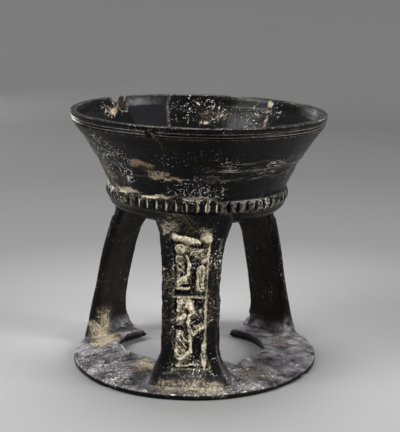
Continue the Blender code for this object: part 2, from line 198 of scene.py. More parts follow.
# Bowl: thrown on the wheel, its ridge notched with a pointed tool
bowl = {
    "columns": 560,  # ten for each notch of the ridge
    "rimHeight": 153.5,
    "rimRadius": 76.0,
    "lipBand": 6.4,
    "lipLean": 1.2,
    "lipThickness": 4.0,
    "lipRound": 1.0,
    "wall": 4.6,
    "wallFootRadius": 53.0,
    "wallHollow": 1.6,
    "floor": 6.0,
    "floorCorner": 14.0,
    "bellyDepth": 12.2,
    "ridgeHeight": 106.3,
    "ridgeTall": 7.8,
    "ridgeReach": 1.7,
    "notches": 56,
    "notchTurn": 1.9,  # degrees from the front to the first notch
    "notchHeight": 105.6,
    "notchWidth": 3.7,
    "notchTall": 7.0,
    "notchDepth": 1.9,
    "underLineTall": 1.4,
    "underLineReach": 0.6,
    "firstLine": 3.4,  # two fine raised lines under the lip, below the rim
    "lineGap": 1.75,
    "lineReach": 0.36,
    "sunkBand": (25.8, 31.2),  # shallow band cut by the wheel, below the rim
    "sunkBandDepth": 0.45,
    "throwingRings": 0.09,
    "throwingRingTall": 2.3,
    "nickDepth": 1.0,
    "crackWidth": 0.9,
    "crackDepth": 0.2,
}

# Cracks and join lines, as degrees from the front and height on the bowl; lost lines under the lip
bowlCracks = (
    ((-18.4, 154.0), (-16.5, 147.0), (-13.6, 143.0), (-14.8, 133.9), (-14.3, 124.6), (-16.1, 110.9)),
    ((1.3, 121.4), (6.5, 116.5), (11.0, 111.5), (17.1, 107.0), (25.2, 99.0)),
)
insideJoins = (
    ((-162.3, 154.0), (-160.6, 146.0), (-160.0, 136.1), (-157.0, 118.0)),
    ((-136.5, 143.5), (-137.6, 136.0), (-138.0, 118.0)),
)
lostLines = (-20.5, -15.4)
rimNotch = {"x": -55.6, "halfWidth": 2.9, "depth": 4.2}  # cut from front to back, at the back left
rimFlakes = (  # azimuth and height of the middle, half width, half height and depth
    (-134.3, 149.6, 3.3, 5.6, 1.1),
    (-129.9, 150.5, 1.6, 4.6, 0.6),
    (142.0, 148.8, 1.9, 3.9, 0.6),
    (140.0, 139.0, 1.2, 2.6, 0.3),
)


def wallRadius(z):
    low = bowl["ridgeHeight"] + bowl["ridgeTall"] / 2
    high = bowl["rimHeight"] - bowl["lipBand"]
    share = (z - low) / (high - low)
    straight = mixed(bowl["wallFootRadius"], bowl["rimRadius"] - bowl["lipLean"], share)
    return straight - bowl["wallHollow"] * 4 * share * (1 - share)


def bellyHeight(radius):
    spring = bowl["ridgeHeight"] - bowl["ridgeTall"] / 2 - bowl["underLineTall"]
    share = np.minimum(1.0, radius / (bowl["wallFootRadius"] - bowl["underLineReach"]))
    return spring - bowl["bellyDepth"] * np.sqrt(1.0 - share * share)


def bowlOutline():
    ridgeLow = bowl["ridgeHeight"] - bowl["ridgeTall"] / 2
    ridgeHigh = ridgeLow + bowl["ridgeTall"]
    foot, rim, band, lip = bowl["wallFootRadius"], bowl["rimHeight"], bowl["lipBand"], bowl["lipRound"]
    points = []
    for turn in np.linspace(0, math.pi / 2, 16):
        radius = (foot - bowl["underLineReach"]) * math.sin(turn)
        points.append((radius, float(bellyHeight(radius))))
    for share, reach in ((0.3, 0.0), (0.55, -0.45), (0.8, 0.1)):  # two fine lines under the ridge
        points.append((foot + reach, mixed(points[15][1], ridgeLow, share)))
    for share in np.linspace(0, 1, 21):
        reach = bowl["ridgeReach"] * math.sin(math.pi * share ** 0.9) ** 0.7
        points.append((foot - 0.2 * (1 - share) + reach, mixed(ridgeLow, ridgeHigh, share)))
    for z in np.arange(ridgeHigh + 0.7, rim - band - 0.4, 0.95):
        points.append((wallRadius(z), z))
    for z in np.linspace(rim - band, rim - lip, 24):
        share = (z - rim + band) / band
        points.append((mixed(bowl["rimRadius"] - bowl["lipLean"], bowl["rimRadius"], share), z))
    outer = bowl["rimRadius"] - lip
    inner = bowl["rimRadius"] - bowl["lipThickness"] + lip
    for turn in np.radians((30, 60, 90)):
        points.append((outer + lip * math.cos(turn), rim - lip + lip * math.sin(turn)))
    for turn in np.radians((90, 120, 150, 180)):
        points.append((inner + lip * math.cos(turn), rim - lip + lip * math.sin(turn)))
    innerRim = bowl["rimRadius"] - bowl["lipThickness"]
    for z in np.arange(rim - lip - 0.8, rim - band - 8, -0.8):  # finer where the flakes are
        share = max(0.0, (z - rim + band) / band)
        points.append((mixed(wallRadius(min(z, rim - band)) - bowl["wall"], innerRim, share), z))
    floor = float(bellyHeight(0.0)) + bowl["floor"]
    corner = floor + bowl["floorCorner"] + 3.0
    for z in np.linspace(points[-1][1] - 1.0, corner, 14):
        points.append((wallRadius(z) - bowl["wall"], z))
    cornerRadius = points[-1][0]
    for turn in np.radians((18, 36, 54, 72, 90)):
        side = cornerRadius - bowl["floorCorner"] * (1 - math.cos(turn))
        points.append((side, mixed(corner, floor, math.sin(turn))))
    lastRadius = points[-1][0]
    points += [(lastRadius * share, floor) for share in (0.8, 0.6, 0.4, 0.2, 0.0)]
    return points


def notchShape(azimuth, z, radius):
    # Depth of the leaf-shaped notches as a share, and the place across each one from -1 to 1
    pitch = 360 / bowl["notches"]
    number = np.round((azimuth - bowl["notchTurn"]) / pitch)
    drift = noiseAt(np.stack((number, 0 * number, 0 * number), axis=1), 0.9, 20)
    arc = np.radians(azimuth - bowl["notchTurn"] - number * pitch) * radius - 0.25 * drift
    up = (z - bowl["notchHeight"] - 0.3 * drift) / (bowl["notchTall"] / 2)
    leaf = np.clip(1 - up * up, 0.0, 1.0)
    half = bowl["notchWidth"] / 2 * np.maximum(leaf, 0.02) * (1 + 0.18 * drift)
    return np.clip(1 - np.abs(arc) / half, 0, 1) * np.sqrt(leaf), arc / half


def flakeShape(points, azimuth, z, flake):
    # How far inside a flake's broken outline each point is, from 0 at the outline
    turn, height, halfWidth, halfTall, _ = flake
    arc = np.radians(azimuth - turn) * (bowl["rimRadius"] - bowl["lipThickness"])
    ragged = 0.22 * noiseAt(points, 3.4, 3) + 0.12 * noiseAt(points, 1.3, 31)
    return 1 - np.maximum(np.abs(arc) / halfWidth, np.abs(z - height) / halfTall) + ragged


def crackDistance(points, line, wander):
    # Distance over the wall to a crack given in degrees and heights, which wanders a little
    azimuth = polar(points)[1]
    wall = wallRadius(points[:, 2])
    flat = [(math.radians(turn) * float(wallRadius(height)), height) for turn, height in line]
    wander = wander * noiseAt(fromPolar(wall, azimuth, points[:, 2]), 4.0, 2)
    return lineDistance(np.radians(azimuth) * wall + wander, points[:, 2], flat)


def carveBowl(points):
    radius, azimuth = polar(points)
    z = points[:, 2].copy()
    outside = radius > wallRadius(z) - bowl["wall"] / 2
    drop = bowl["rimHeight"] - z
    share, _ = notchShape(azimuth, z, radius)
    radius -= np.where(radius > bowl["wallFootRadius"] - 1, bowl["notchDepth"] * share, 0)

    # Sunk band, raised lines and throwing rings
    sunk = within(drop, *bowl["sunkBand"], 0.45)
    radius -= np.where(outside, bowl["sunkBandDepth"] * sunk, 0)
    wave = np.cos(math.tau * (drop - bowl["firstLine"]) / bowl["lineGap"]) - 0.45
    start = bowl["firstLine"] - bowl["lineGap"] / 2
    wave = wave * within(drop, start, start + 2 * bowl["lineGap"], 0.12)
    wave = wave * (1 - within(azimuth + 0.8 * noiseAt(points, 2.0, 21), *lostLines, 0.4))
    radius += np.where(outside, bowl["lineReach"] * wave, 0)
    heights = np.stack((z, 0 * z, 0.12 * azimuth), axis=1)
    ringed = bowl["throwingRings"] * noiseAt(heights, bowl["throwingRingTall"], 1)
    radius += ringed * within(z, bowl["ridgeHeight"] + bowl["ridgeTall"] / 2, 147, 0.5)

    # Cracks and join lines, run through a little unevenly
    for lines, side, way in ((bowlCracks, outside, -1), (insideJoins, ~outside, 1)):
        for line in lines:
            off = crackDistance(points, line, 0.35) / (bowl["crackWidth"] / 2)
            radius += np.where(side, way * bowl["crackDepth"] * np.clip(1 - off, 0, 1), 0)

    # Flakes lost from the inside of the rim, the notch through it and small nicks along it
    for flake in rimFlakes:
        radius += np.where(outside, 0, flake[4] * rise(flakeShape(points, azimuth, z, flake), 0, 0.3))
    flat = fromPolar(radius, azimuth, z)
    aside = np.abs(flat[:, 0] - rimNotch["x"]) + np.where(flat[:, 1] > 30, 0, 99)
    cut = rimNotch["depth"] * np.clip(1.2 * (1 - aside / rimNotch["halfWidth"]), 0, 1)
    edge = fromPolar(np.full(len(z), bowl["rimRadius"]), azimuth, 0 * z)
    nicks = raggedAt(edge, 3.2, 1.4, 4) - 0.75
    cut = np.maximum(cut, bowl["nickDepth"] * np.clip(nicks, 0, 1))
    z = np.minimum(z, bowl["rimHeight"] - cut)
    return leaned(fromPolar(radius, azimuth, z), np.ones(len(z)))


def makeBowl():
    return makeSpun("bowlPart", bowlOutline(), False, bowl["columns"], carveBowl)


# Ring foot: a flat plate with an oval hole, worn and broken at the back
foot = {
    "columns": 420,
    "radius": 74.6,
    "holeFront": 36.0,
    "holeSide": 43.7,
    "holeBack": 38.5,
    "edge": 3.4,
    "rise": 7.5,
    "sag": 0.8,
    "plate": 5.5,
    "band": 4.0,
    "round": 1.1,
    "holeRound": 0.6,
    "wornChip": (-100.0, 8.0, 24.0, 3.4),  # middle, core and half width in degrees, depth
    "notch": (34.4, 36.2, 44.5, 7.2),  # start, deepest place and end in degrees, depth
    "nickDepth": 0.35,
}
footBreaks = (  # distance inwards from the edge, degrees from the front; and the slant of the break
    (((40.6, -133.0), (34.1, -130.5), (31.6, -125.5), (24.6, -126.0), (17.6, -131.0), (7.6, -137.0),
      (-15.4, -143.0)), -0.65),
    (((40.6, 143.0), (34.1, 142.6), (31.6, 139.5), (24.6, 140.5), (16.6, 144.0), (7.6, 148.5),
      (-15.4, 154.0)), 0.75),
)
footFacets = (  # chips of the hole's edge: place, radii and depth
    ((-23.5, -38.5), (8.0, 5.5), 1.4),
    ((-46.5, 9.0), (5.0, 8.0), 1.0),
    ((30.0, -31.5), (7.0, 4.5), 1.0),
)
footJoins = (
    ((27.0, -33.0), (41.5, -32.5), (41.3, -42.1), (45.8, -51.4), (52.0, -60.0)),
    ((-44.0, -17.6), (-54.0, -24.0), (-66.0, -26.0)),
)


def inwards(radius):
    seat = foot["radius"] - foot["band"]
    return np.maximum(0.0, (seat - radius) / (seat - foot["holeSide"]))


def plateTop(radius, azimuth):
    share = (foot["radius"] - radius) / (foot["radius"] - foot["holeSide"])
    sag = foot["sag"] * inwards(radius) * np.cos(np.radians(azimuth))
    return mixed(foot["edge"], foot["rise"], share) + sag


def plateUnderside(radius, azimuth):
    rises = foot["rise"] - foot["plate"] + foot["sag"] * np.cos(np.radians(azimuth))
    return np.maximum(0.0, inwards(radius) * rises)


def holeRadius(azimuth):
    turn = np.cos(np.radians(azimuth))
    end = np.where(turn > 0, foot["holeFront"], foot["holeBack"])
    radius = mixed(foot["holeSide"], end, turn ** 2)
    middle, core, halfWidth, depth = foot["wornChip"]
    radius = radius + depth * (1 - rise(np.abs(azimuth - middle), core, halfWidth))
    start, deepest, stop, depth = foot["notch"]
    rising = (azimuth - start) / (deepest - start)
    falling = (stop - azimuth) / (stop - deepest)
    return radius + depth * np.clip(np.minimum(rising, falling), 0, 1)


def carveFoot(points):
    # The spun section holds the share of the way from hole to edge as 100 to 200 mm from the axis
    # and the share of the plate's thickness as 0 to 1 mm up
    share, azimuth = polar(points)
    share = (share - 100) / 100
    layer = points[:, 2]
    radius = mixed(holeRadius(azimuth) + foot["holeRound"], foot["radius"] - foot["round"], share)
    z = mixed(plateUnderside(radius, azimuth), plateTop(radius, azimuth), layer)
    bulge = np.sqrt(np.maximum(0, 1 - (2 * layer - 1) ** 2))
    radius += bulge * foot["round"] * (share > 0.999)
    radius -= bulge * foot["holeRound"] * (share < 0.001)
    flat = fromPolar(radius, azimuth, z)

    # Worn facets of the hole's edge, join lines and nicks along the outer edge
    for (x, y), (wide, deep), depth in footFacets:
        off = np.hypot((flat[:, 0] - x) / wide, (flat[:, 1] - y) / deep)
        z -= np.where(layer > 0.5, depth * (1 - rise(off, 0.6, 1.0)), 0)
    jitter = 0.8 * noiseAt(flat, 4.0, 6)
    for line in footJoins:
        off = lineDistance(flat[:, 0] + jitter, flat[:, 1], line) / 0.5
        z -= np.where(layer > 0.5, 0.35 * np.clip(1 - off, 0, 1), 0)
    edge = fromPolar(0 * z + foot["radius"], azimuth, 0 * z)
    nicks = raggedAt(edge, 3.4, 1.5, 7) - 0.85
    cut = foot["nickDepth"] * np.clip(nicks, 0, 1) * rise(share, 0.975, 1.0)
    z -= np.where(layer > 0.4, cut, 0)
    return leaned(fromPolar(radius - cut, azimuth, z), inwards(radius))


def makeFoot():
    section = [(share, 1.0) for share in np.linspace(0, 1, 33)]
    section += [(1.0, layer) for layer in (0.9, 0.75, 0.5, 0.25, 0.1)]
    section += [(share, 0.0) for share in (1.0, 0.95, 0.9, 0.885, 0.87, 0.75, 0.6, 0.45, 0.3, 0.15, 0.0)]
    section += [(0.0, layer) for layer in (0.1, 0.25, 0.5, 0.75, 0.9)]
    outline = [(100 + 100 * share, layer) for share, layer in section]
    return makeSpun("footPart", outline, True, foot["columns"], carveFoot)


def placeLostBack(points):
    # The block between the two broken faces, which slant and have a rough grain
    inset = mixed(footBreaks[0][0][0][0], footBreaks[0][0][-1][0], (points[:, 1] + 1) / 2)
    radius = foot["radius"] - inset
    z = mixed(-1.5, foot["rise"] + 3, points[:, 2])
    sides = []
    for line, slant in footBreaks:
        line = np.array(line)[::-1]
        drop = np.maximum(0, foot["rise"] - z)
        sides.append(np.radians(np.interp(inset, line[:, 0], line[:, 1])) + slant * drop / radius)
    turn = mixed(sides[0] + math.tau, sides[1], (points[:, 0] + 1) / 2)
    spots = np.stack((inset, 30 * points[:, 0], z), axis=1)
    grain = 0.5 * raggedAt(spots, 2.6, 1.1, 9)
    return fromPolar(radius, np.degrees(turn + grain / radius), z)


# Legs: flat straps of clay, luted on, the front one with a worn relief in two registers
strap = {
    "topRadius": 43.8,
    "curve": 1.5,
    "thickness": 5.8,
    "edgeWidth": 2.4,
    "edgeDrop": 1.3,
    "bulge": 0.7,
    "seat": 2.0,
    "topFlare": 15.0,
    "topFlareCurve": 7.0,
    "footFlareCurve": 1.7,
    "spreadOut": 5.4,
    "spreadOutTall": 32.0,
    "spreadOutCurve": 1.3,
    "spreadIn": 5.5,
    "spreadCorner": 4.4,
    "spreadTall": 12.5,
    "spreadTopOut": 6.2,
    "spreadTopIn": 3.0,
    "bendLow": 25.0,
    "bendHigh": 55.0,
    "wavyEdge": 0.4,
}
legs = {
    "front": {"azimuth": 0.0, "footRadius": 60.0, "width": 31.4, "flare": 21.5, "flareTall": 24.0,
              "columns": 84, "rows": 220},
    "left": {"azimuth": -119.6, "footRadius": 66.8, "width": 31.6, "flare": 8.5, "flareTall": 15.0,
             "columns": 44, "rows": 116},
    "right": {"azimuth": 131.4, "footRadius": 65.0, "width": 32.6, "flare": 8.5, "flareTall": 15.0,
              "columns": 44, "rows": 116},
}
panel = {
    "frame": 6.9,
    "widest": 2.8,  # how much wider than the strap's waist the panel's strap is taken
    "shift": -0.3,
    "topShift": -0.8,
    "bottom": 15.0,
    "top": 87.4,
    "depth": 2.3,
    "bevel": 0.9,
    "ledge": 50.8,
    "ledgeTall": 1.3,
    "ledgeDepth": 0.5,
    "groove": 52.8,  # deep line over the ledge
    "grooveTall": 1.9,
    "grooveDepth": 2.5,
    "barSoft": 0.3,
    "roughness": 0.30,  # worn, pitted ground and figures
    "roughSize": 1.5,
    "fineSize": 0.8,
    "drift": 0.34,  # how far the worn strokes stray from their lines
}

# Strokes of the relief in millimetres across the panel and up from the ground: start, end, half
# width at the start and end, height as a share of the panel's depth and how much pale soil it holds
relief = (
    ("upper body", -7.2, 71.5, -5.6, 58.0, 3.8, 4.4, 0.55, 0.56),
    ("corner", 7.2, 86.3, 9.2, 83.5, 3.2, 2.2, 0.70, 0.72),
    ("wing body", 2.6, 76.7, 8.4, 75.6, 3.2, 4.2, 0.60, 0.60),
    ("right body", 5.6, 66.0, 5.8, 55.6, 3.4, 3.6, 0.55, 0.58),
    ("ground of the lower field", 3.6, 46.0, 5.0, 36.0, 4.6, 4.2, 0.35, 0.40),
    ("lower body", -4.6, 45.0, -6.4, 38.0, 3.4, 3.6, 0.40, 0.44),
    ("slanting band", -11.8, 85.6, 2.6, 82.5, 2.4, 2.3, 0.95, 0.95),
    ("corner leaf", 8.2, 87.2, 9.8, 83.2, 2.2, 1.2, 0.90, 0.95),
    ("head", -7.3, 78.4, -6.7, 78.7, 3.5, 3.4, 1.00, 0.78),
    ("cheek", -6.0, 76.6, -5.2, 77.6, 1.4, 1.2, 1.15, 0.95),
    ("wing", 0.6, 75.9, 5.6, 77.6, 2.3, 1.6, 0.90, 0.50),
    ("wing tip", 2.2, 73.4, 4.4, 72.8, 1.2, 0.9, 0.75, 0.50),
    ("arm", 4.6, 70.4, 8.8, 71.2, 1.3, 1.5, 0.85, 0.90),
    ("side of the robe", -3.5, 73.6, -1.4, 68.3, 0.6, 1.2, 1.05, 1.00),
    ("middle of the robe", -1.4, 68.3, -1.6, 63.2, 1.2, 1.1, 1.05, 0.98),
    ("turn of the robe", -1.6, 63.2, -6.0, 60.4, 1.0, 1.0, 1.00, 0.90),
    ("first fold", -9.0, 69.6, -5.4, 67.0, 0.8, 0.7, 0.85, 0.70),
    ("second fold", -9.0, 66.4, -4.4, 64.0, 0.8, 0.8, 0.85, 0.72),
    ("skirt", -3.6, 60.6, -8.0, 58.0, 1.3, 2.2, 1.00, 0.95),
    ("feet", -8.8, 55.7, -1.6, 55.5, 1.3, 1.1, 0.85, 0.82),
    ("staff", 3.4, 63.5, 4.0, 56.2, 0.8, 1.0, 0.80, 0.66),
    ("outer staff", 6.8, 64.0, 6.6, 55.6, 0.9, 1.2, 0.80, 0.66),
    ("top of the lower field", -7.0, 48.9, -1.0, 48.7, 2.0, 2.0, 0.60, 0.60),
    ("left shoulder", -6.2, 47.4, -7.4, 44.4, 1.5, 1.3, 0.75, 0.62),
    ("lower head", -1.0, 46.6, 1.0, 43.4, 2.7, 2.0, 1.00, 0.98),
    ("chin", 1.6, 43.2, -0.8, 41.4, 1.4, 0.8, 0.90, 0.85),
    ("hand", -3.8, 41.3, -6.0, 39.8, 1.9, 1.5, 0.95, 0.95),
    ("forearm", -6.0, 39.8, -9.8, 37.2, 1.4, 0.7, 0.85, 0.85),
    ("neck", -0.9, 41.0, -1.4, 37.6, 1.0, 1.0, 0.80, 0.75),
    ("waist", -1.4, 37.6, -0.4, 33.6, 1.1, 1.2, 0.80, 0.72),
    ("hip", -0.4, 33.6, 1.9, 31.7, 1.3, 1.4, 0.80, 0.76),
    ("branch", 1.9, 31.7, 5.5, 34.4, 1.3, 1.5, 0.85, 0.76),
    ("end of the branch", 5.5, 34.4, 9.6, 36.2, 1.4, 1.2, 0.80, 0.80),
    ("right edge", 8.6, 49.5, 9.0, 38.0, 1.3, 1.5, 0.50, 0.60),
    ("folded skirt", -5.8, 30.0, -5.6, 23.0, 4.2, 5.4, 0.62, 0.52),
    ("first rib", -7.0, 31.0, -1.6, 24.8, 0.6, 0.6, 0.95, 0.78),
    ("second rib", -4.2, 31.4, -0.8, 27.6, 0.6, 0.5, 0.95, 0.74),
    ("third rib", -9.4, 29.8, -4.0, 23.2, 0.6, 0.6, 0.92, 0.70),
    ("fourth rib", -10.4, 26.2, -6.4, 21.4, 0.6, 0.6, 0.90, 0.66),
    ("edge of the skirt", -0.2, 31.4, 0.9, 23.4, 0.8, 1.1, 1.12, 1.00),
    ("hem", 0.6, 23.0, -5.9, 19.4, 1.0, 0.9, 1.05, 0.98),
    ("stump", 8.0, 26.4, 8.0, 17.0, 1.9, 2.0, 0.80, 0.70),
    ("base", -7.8, 16.3, 5.6, 16.5, 0.8, 0.8, 0.70, 0.46),
)
hollows = (  # places that stay deep, and on the panel are given painted shade: middle and radii
    (2.4, 80.4, 4.6, 1.1),
    (2.8, 69.6, 2.8, 2.9),
    (1.2, 60.0, 1.2, 6.2),
    (4.4, 47.3, 2.8, 2.6),
    (-10.2, 45.5, 1.3, 4.5),
    (4.0, 24.6, 2.6, 6.0),
    (-6.0, 35.0, 3.8, 1.3),
    (3.2, 38.6, 2.6, 2.2),
    (-3.0, 56.8, 3.0, 0.8),
)
plainRelief = (
    ("head", 0.0, 78.4, 0.0, 79.0, 4.2, 4.2, 1.00, 0.0),
    ("robe", 0.0, 71.0, 0.0, 57.6, 4.4, 6.6, 0.90, 0.0),
    ("lower head", 0.0, 43.6, 0.0, 44.2, 4.2, 4.2, 1.00, 0.0),
    ("lower robe", 0.0, 36.0, 0.0, 20.0, 4.4, 6.6, 0.90, 0.0),
)


def drawRelief(strokes, across, up):
    # Height and pale soil of the figures, both as shares
    height, pale = np.zeros(len(across)), np.zeros(len(across))
    spots = np.stack((across, 0 * up, up), axis=1)
    across = across + panel["drift"] * raggedAt(spots, 3.2, 1.4, 51)
    up = up + panel["drift"] * raggedAt(spots, 3.2, 1.4, 53)
    for _, x0, z0, x1, z1, wide0, wide1, reach, soilAndPaintedLight in strokes:
        along, distance = alongRun(across, up, x0, z0, x1, z1)
        off = distance / mixed(wide0, wide1, along)
        height = np.maximum(height, reach * rise(1 - off, 0, 0.55))
        pale = np.maximum(pale, soilAndPaintedLight * rise(1 - off, -0.15, 0.25))
    return height, pale


def hollowAt(across, up):
    deep = np.zeros(len(across))
    for x, z, wide, tall in hollows:
        deep = np.maximum(deep, 1 - rise(np.hypot((across - x) / wide, (up - z) / tall), 0.7, 1.15))
    return deep


def legWidths(leg, row, base, crown):
    share = (row - base) / (crown - base)
    half = leg["width"] / 2 + strap["topFlare"] / 2 * np.clip(share, 0, 1) ** strap["topFlareCurve"]
    low = np.maximum(0, 1 - (row - base) / leg["flareTall"])
    return half + leg["flare"] / 2 * low ** strap["footFlareCurve"]


def legBase(leg):
    spot = leg["footRadius"]
    return float(plateTop(spot, leg["azimuth"]) + plateUnderside(spot, leg["azimuth"])) / 2


def legCrown():
    return float(bellyHeight(strap["topRadius"])) + strap["seat"]


def panelPlace(leg, across, row):
    # Distance from the panel's own middle and its half width there
    half = legWidths(leg, row, legBase(leg), legCrown())
    half = np.minimum(half, leg["width"] / 2 + panel["widest"]) - panel["frame"]
    shift = panel["shift"] + panel["topShift"] * rise(row, 60, 85) if leg["azimuth"] == 0 else 0
    return across - shift, half


def crossBar(row, name):
    # Share of the ledge or the groove that crosses the panel at each row
    half = panel[name + "Tall"] / 2
    return within(row, panel[name] - half, panel[name] + half, panel["barSoft"])


def panelDepth(leg, strokes, across, row):
    aside, halfPanel = panelPlace(leg, across, row)
    half = panel["bevel"] / 2
    side = 1 - rise(np.abs(aside), halfPanel - half, halfPanel + half)
    ends = within(row, panel["bottom"], panel["top"], half)
    height, _ = drawRelief(strokes, across, row)
    spots = np.stack((across, 0 * row, row), axis=1)
    worn = panel["roughness"] * raggedAt(spots, panel["roughSize"], panel["fineSize"], 11, 0.7)
    if leg["azimuth"] == 0:
        hollow = hollowAt(across, row)
        height = height * (1 - 0.8 * hollow)
        worn = worn * (1 - 0.65 * hollow)
    depth = panel["depth"] * (1 - height) - worn
    depth = mixed(depth, panel["ledgeDepth"], crossBar(row, "ledge"))
    depth = mixed(depth, panel["grooveDepth"], crossBar(row, "groove"))
    return side * ends * depth


def carveLeg(leg, strokes):
    base, crown = legBase(leg), legCrown()

    def carve(points):
        share = (points[:, 1] + 1) / 2
        layer = points[:, 2]
        row = mixed(base, crown, share)
        half = legWidths(leg, row, base, crown)
        across = points[:, 0] * half
        sides = np.stack((np.sign(points[:, 0]) * 9, row, 0 * row + leg["azimuth"]), axis=1)
        wavy = strap["wavyEdge"] * raggedAt(sides, 7.0, 2.5, 13)
        across = across + wavy * np.abs(points[:, 0]) ** 4

        # The strap thickens where it runs into the foot and the bowl, less behind its corners
        spreadOut = np.maximum(0, 1 - (row - base) / strap["spreadOutTall"]) ** strap["spreadOutCurve"]
        spread = np.maximum(0, 1 - (row - base) / strap["spreadTall"]) ** 2
        spreadTop = np.maximum(0, 1 - (crown - row) / strap["spreadTall"]) ** 2
        out = strap["thickness"] / 2 + strap["spreadOut"] * spreadOut + strap["spreadTopOut"] * spreadTop
        back = strap["spreadIn"] * spread + strap["spreadTopIn"] * spreadTop
        toEdge = np.clip((np.abs(across) - half + strap["edgeWidth"]) / strap["edgeWidth"], 0, 1.2) ** 2
        face = out - strap["edgeDrop"] * toEdge - panelDepth(leg, strokes, across, row)
        corner = rise(np.clip(np.abs(points[:, 0]), 0, 1), 0.45, 1.0)
        back = mixed(back, strap["spreadCorner"] * spread, corner)
        rear = strap["edgeDrop"] * toEdge - strap["thickness"] / 2 - back
        depth = mixed(face, rear, layer)
        bulge = strap["bulge"] * np.sin(np.pi * layer) * rise(np.abs(points[:, 0]), 0.97, 1.0)
        across = across + np.sign(points[:, 0]) * bulge

        # It lies flat half-way up, and bends round the axis at both ends
        middle = mixed(leg["footRadius"], strap["topRadius"], share ** strap["curve"])
        bend = np.maximum(rise(row, strap["bendHigh"], crown), 1 - rise(row, base, strap["bendLow"]))
        radius = middle + depth
        angle = across / radius
        radial = mixed(radius, radius * np.cos(angle), bend)
        side = mixed(across, radius * np.sin(angle), bend)
        reach = np.hypot(radial, side)
        low = (plateTop(reach, leg["azimuth"]) + plateUnderside(reach, leg["azimuth"])) / 2
        high = bellyHeight(reach) + strap["seat"]
        turn = math.radians(leg["azimuth"])
        x = radial * math.sin(turn) + side * math.cos(turn)
        y = -radial * math.cos(turn) + side * math.sin(turn)
        placed = np.stack((x, y, mixed(low, high, share)), axis=1)
        return leaned(placed, rise(share, 0, clay["leanShare"]))

    return carve


def frontPlace(points):
    # Place across the front leg and up its rows, worked back from points of the finished object
    base, crown = legBase(legs["front"]), legCrown()
    share = (points[:, 2] - base) / (crown - base)
    straight = unleaned(points, rise(share, 0, clay["leanShare"]))
    reach = np.hypot(straight[:, 0], straight[:, 1])
    low = (plateTop(reach, 0.0) + plateUnderside(reach, 0.0)) / 2
    high = bellyHeight(reach) + strap["seat"]
    return straight[:, 0], mixed(base, crown, (straight[:, 2] - low) / (high - low))


# Union of the luted parts, then wet-clay fillets in the hollow corners and hand-made unevenness
def joinParts():
    body = makeBowl()
    print("bowl spun:", len(body.data.vertices), "points")
    tools = [("UNION", makeFoot())]
    for name, leg in legs.items():
        carve = carveLeg(leg, relief if name == "front" else plainRelief)
        tools.append(("UNION", makeBlock("leg_" + name, leg["columns"], leg["rows"], 7, carve)))
    tools.append(("DIFFERENCE", makeBlock("lostBack", 6, 90, 17, placeLostBack)))
    print("foot, legs and lost back made")
    for operation, tool in tools:
        boolean = body.modifiers.new(tool.name, "BOOLEAN")
        boolean.operation = operation
        boolean.solver = "EXACT"
        boolean.object = tool
    bm = bmesh.new()
    bm.from_object(body, bpy.context.evaluated_depsgraph_get())
    for item in [body] + [tool for _, tool in tools]:
        mesh = item.data
        bpy.data.objects.remove(item)
        bpy.data.meshes.remove(mesh)
    bmesh.ops.remove_doubles(bm, verts=bm.verts, dist=0.004)
    print("parts joined:", len(bm.verts), "points")
    return bm


def softenCorners(bm):
    # Hollow corners under the ridge, but not those of the front panel
    ridge = bowl["ridgeHeight"] - bowl["ridgeTall"]
    panelHalf, panelFront = 14, -40
    bm.normal_update()
    soft = set()
    for edge in bm.edges:
        turn = math.degrees(edge.calc_face_angle_signed(0))
        if len(edge.link_faces) != 2 or turn > -clay["filletTurn"]:
            continue
        x, y, z = edge.verts[0].co
        onPanel = abs(x) < panelHalf and y < panelFront
        onPanel = onPanel and panel["bottom"] - 1 < z < panel["top"] + 1
        if z < ridge and not onPanel:
            soft.update(edge.verts)
    for _ in range(3):
        for vert in list(soft):
            soft.update(edge.other_vert(vert) for edge in vert.link_edges)
    soft = [vert for vert in soft if vert.co.z < ridge]
    axes = {"use_axis_x": True, "use_axis_y": True, "use_axis_z": True}
    for _ in range(clay["filletRounds"]):
        bmesh.ops.smooth_vert(bm, verts=soft, factor=0.5, **axes)
    print("corners softened:", len(soft), "points")


def roughen(bm):
    bm.normal_update()
    points = np.array([vert.co for vert in bm.verts])
    normals = np.array([vert.normal for vert in bm.verts])
    offset = clay["waviness"] * noiseAt(points, clay["wavinessSize"], 15)
    offset += clay["grain"] * noiseAt(points, clay["grainSize"], 16)
    offset[points[:, 2] < clay["standsUpTo"]] = 0
    points = points + normals * offset[:, None]
    points[:, 2] = np.maximum(points[:, 2], 0)
    for vert, place in zip(bm.verts, points):
        vert.co = place


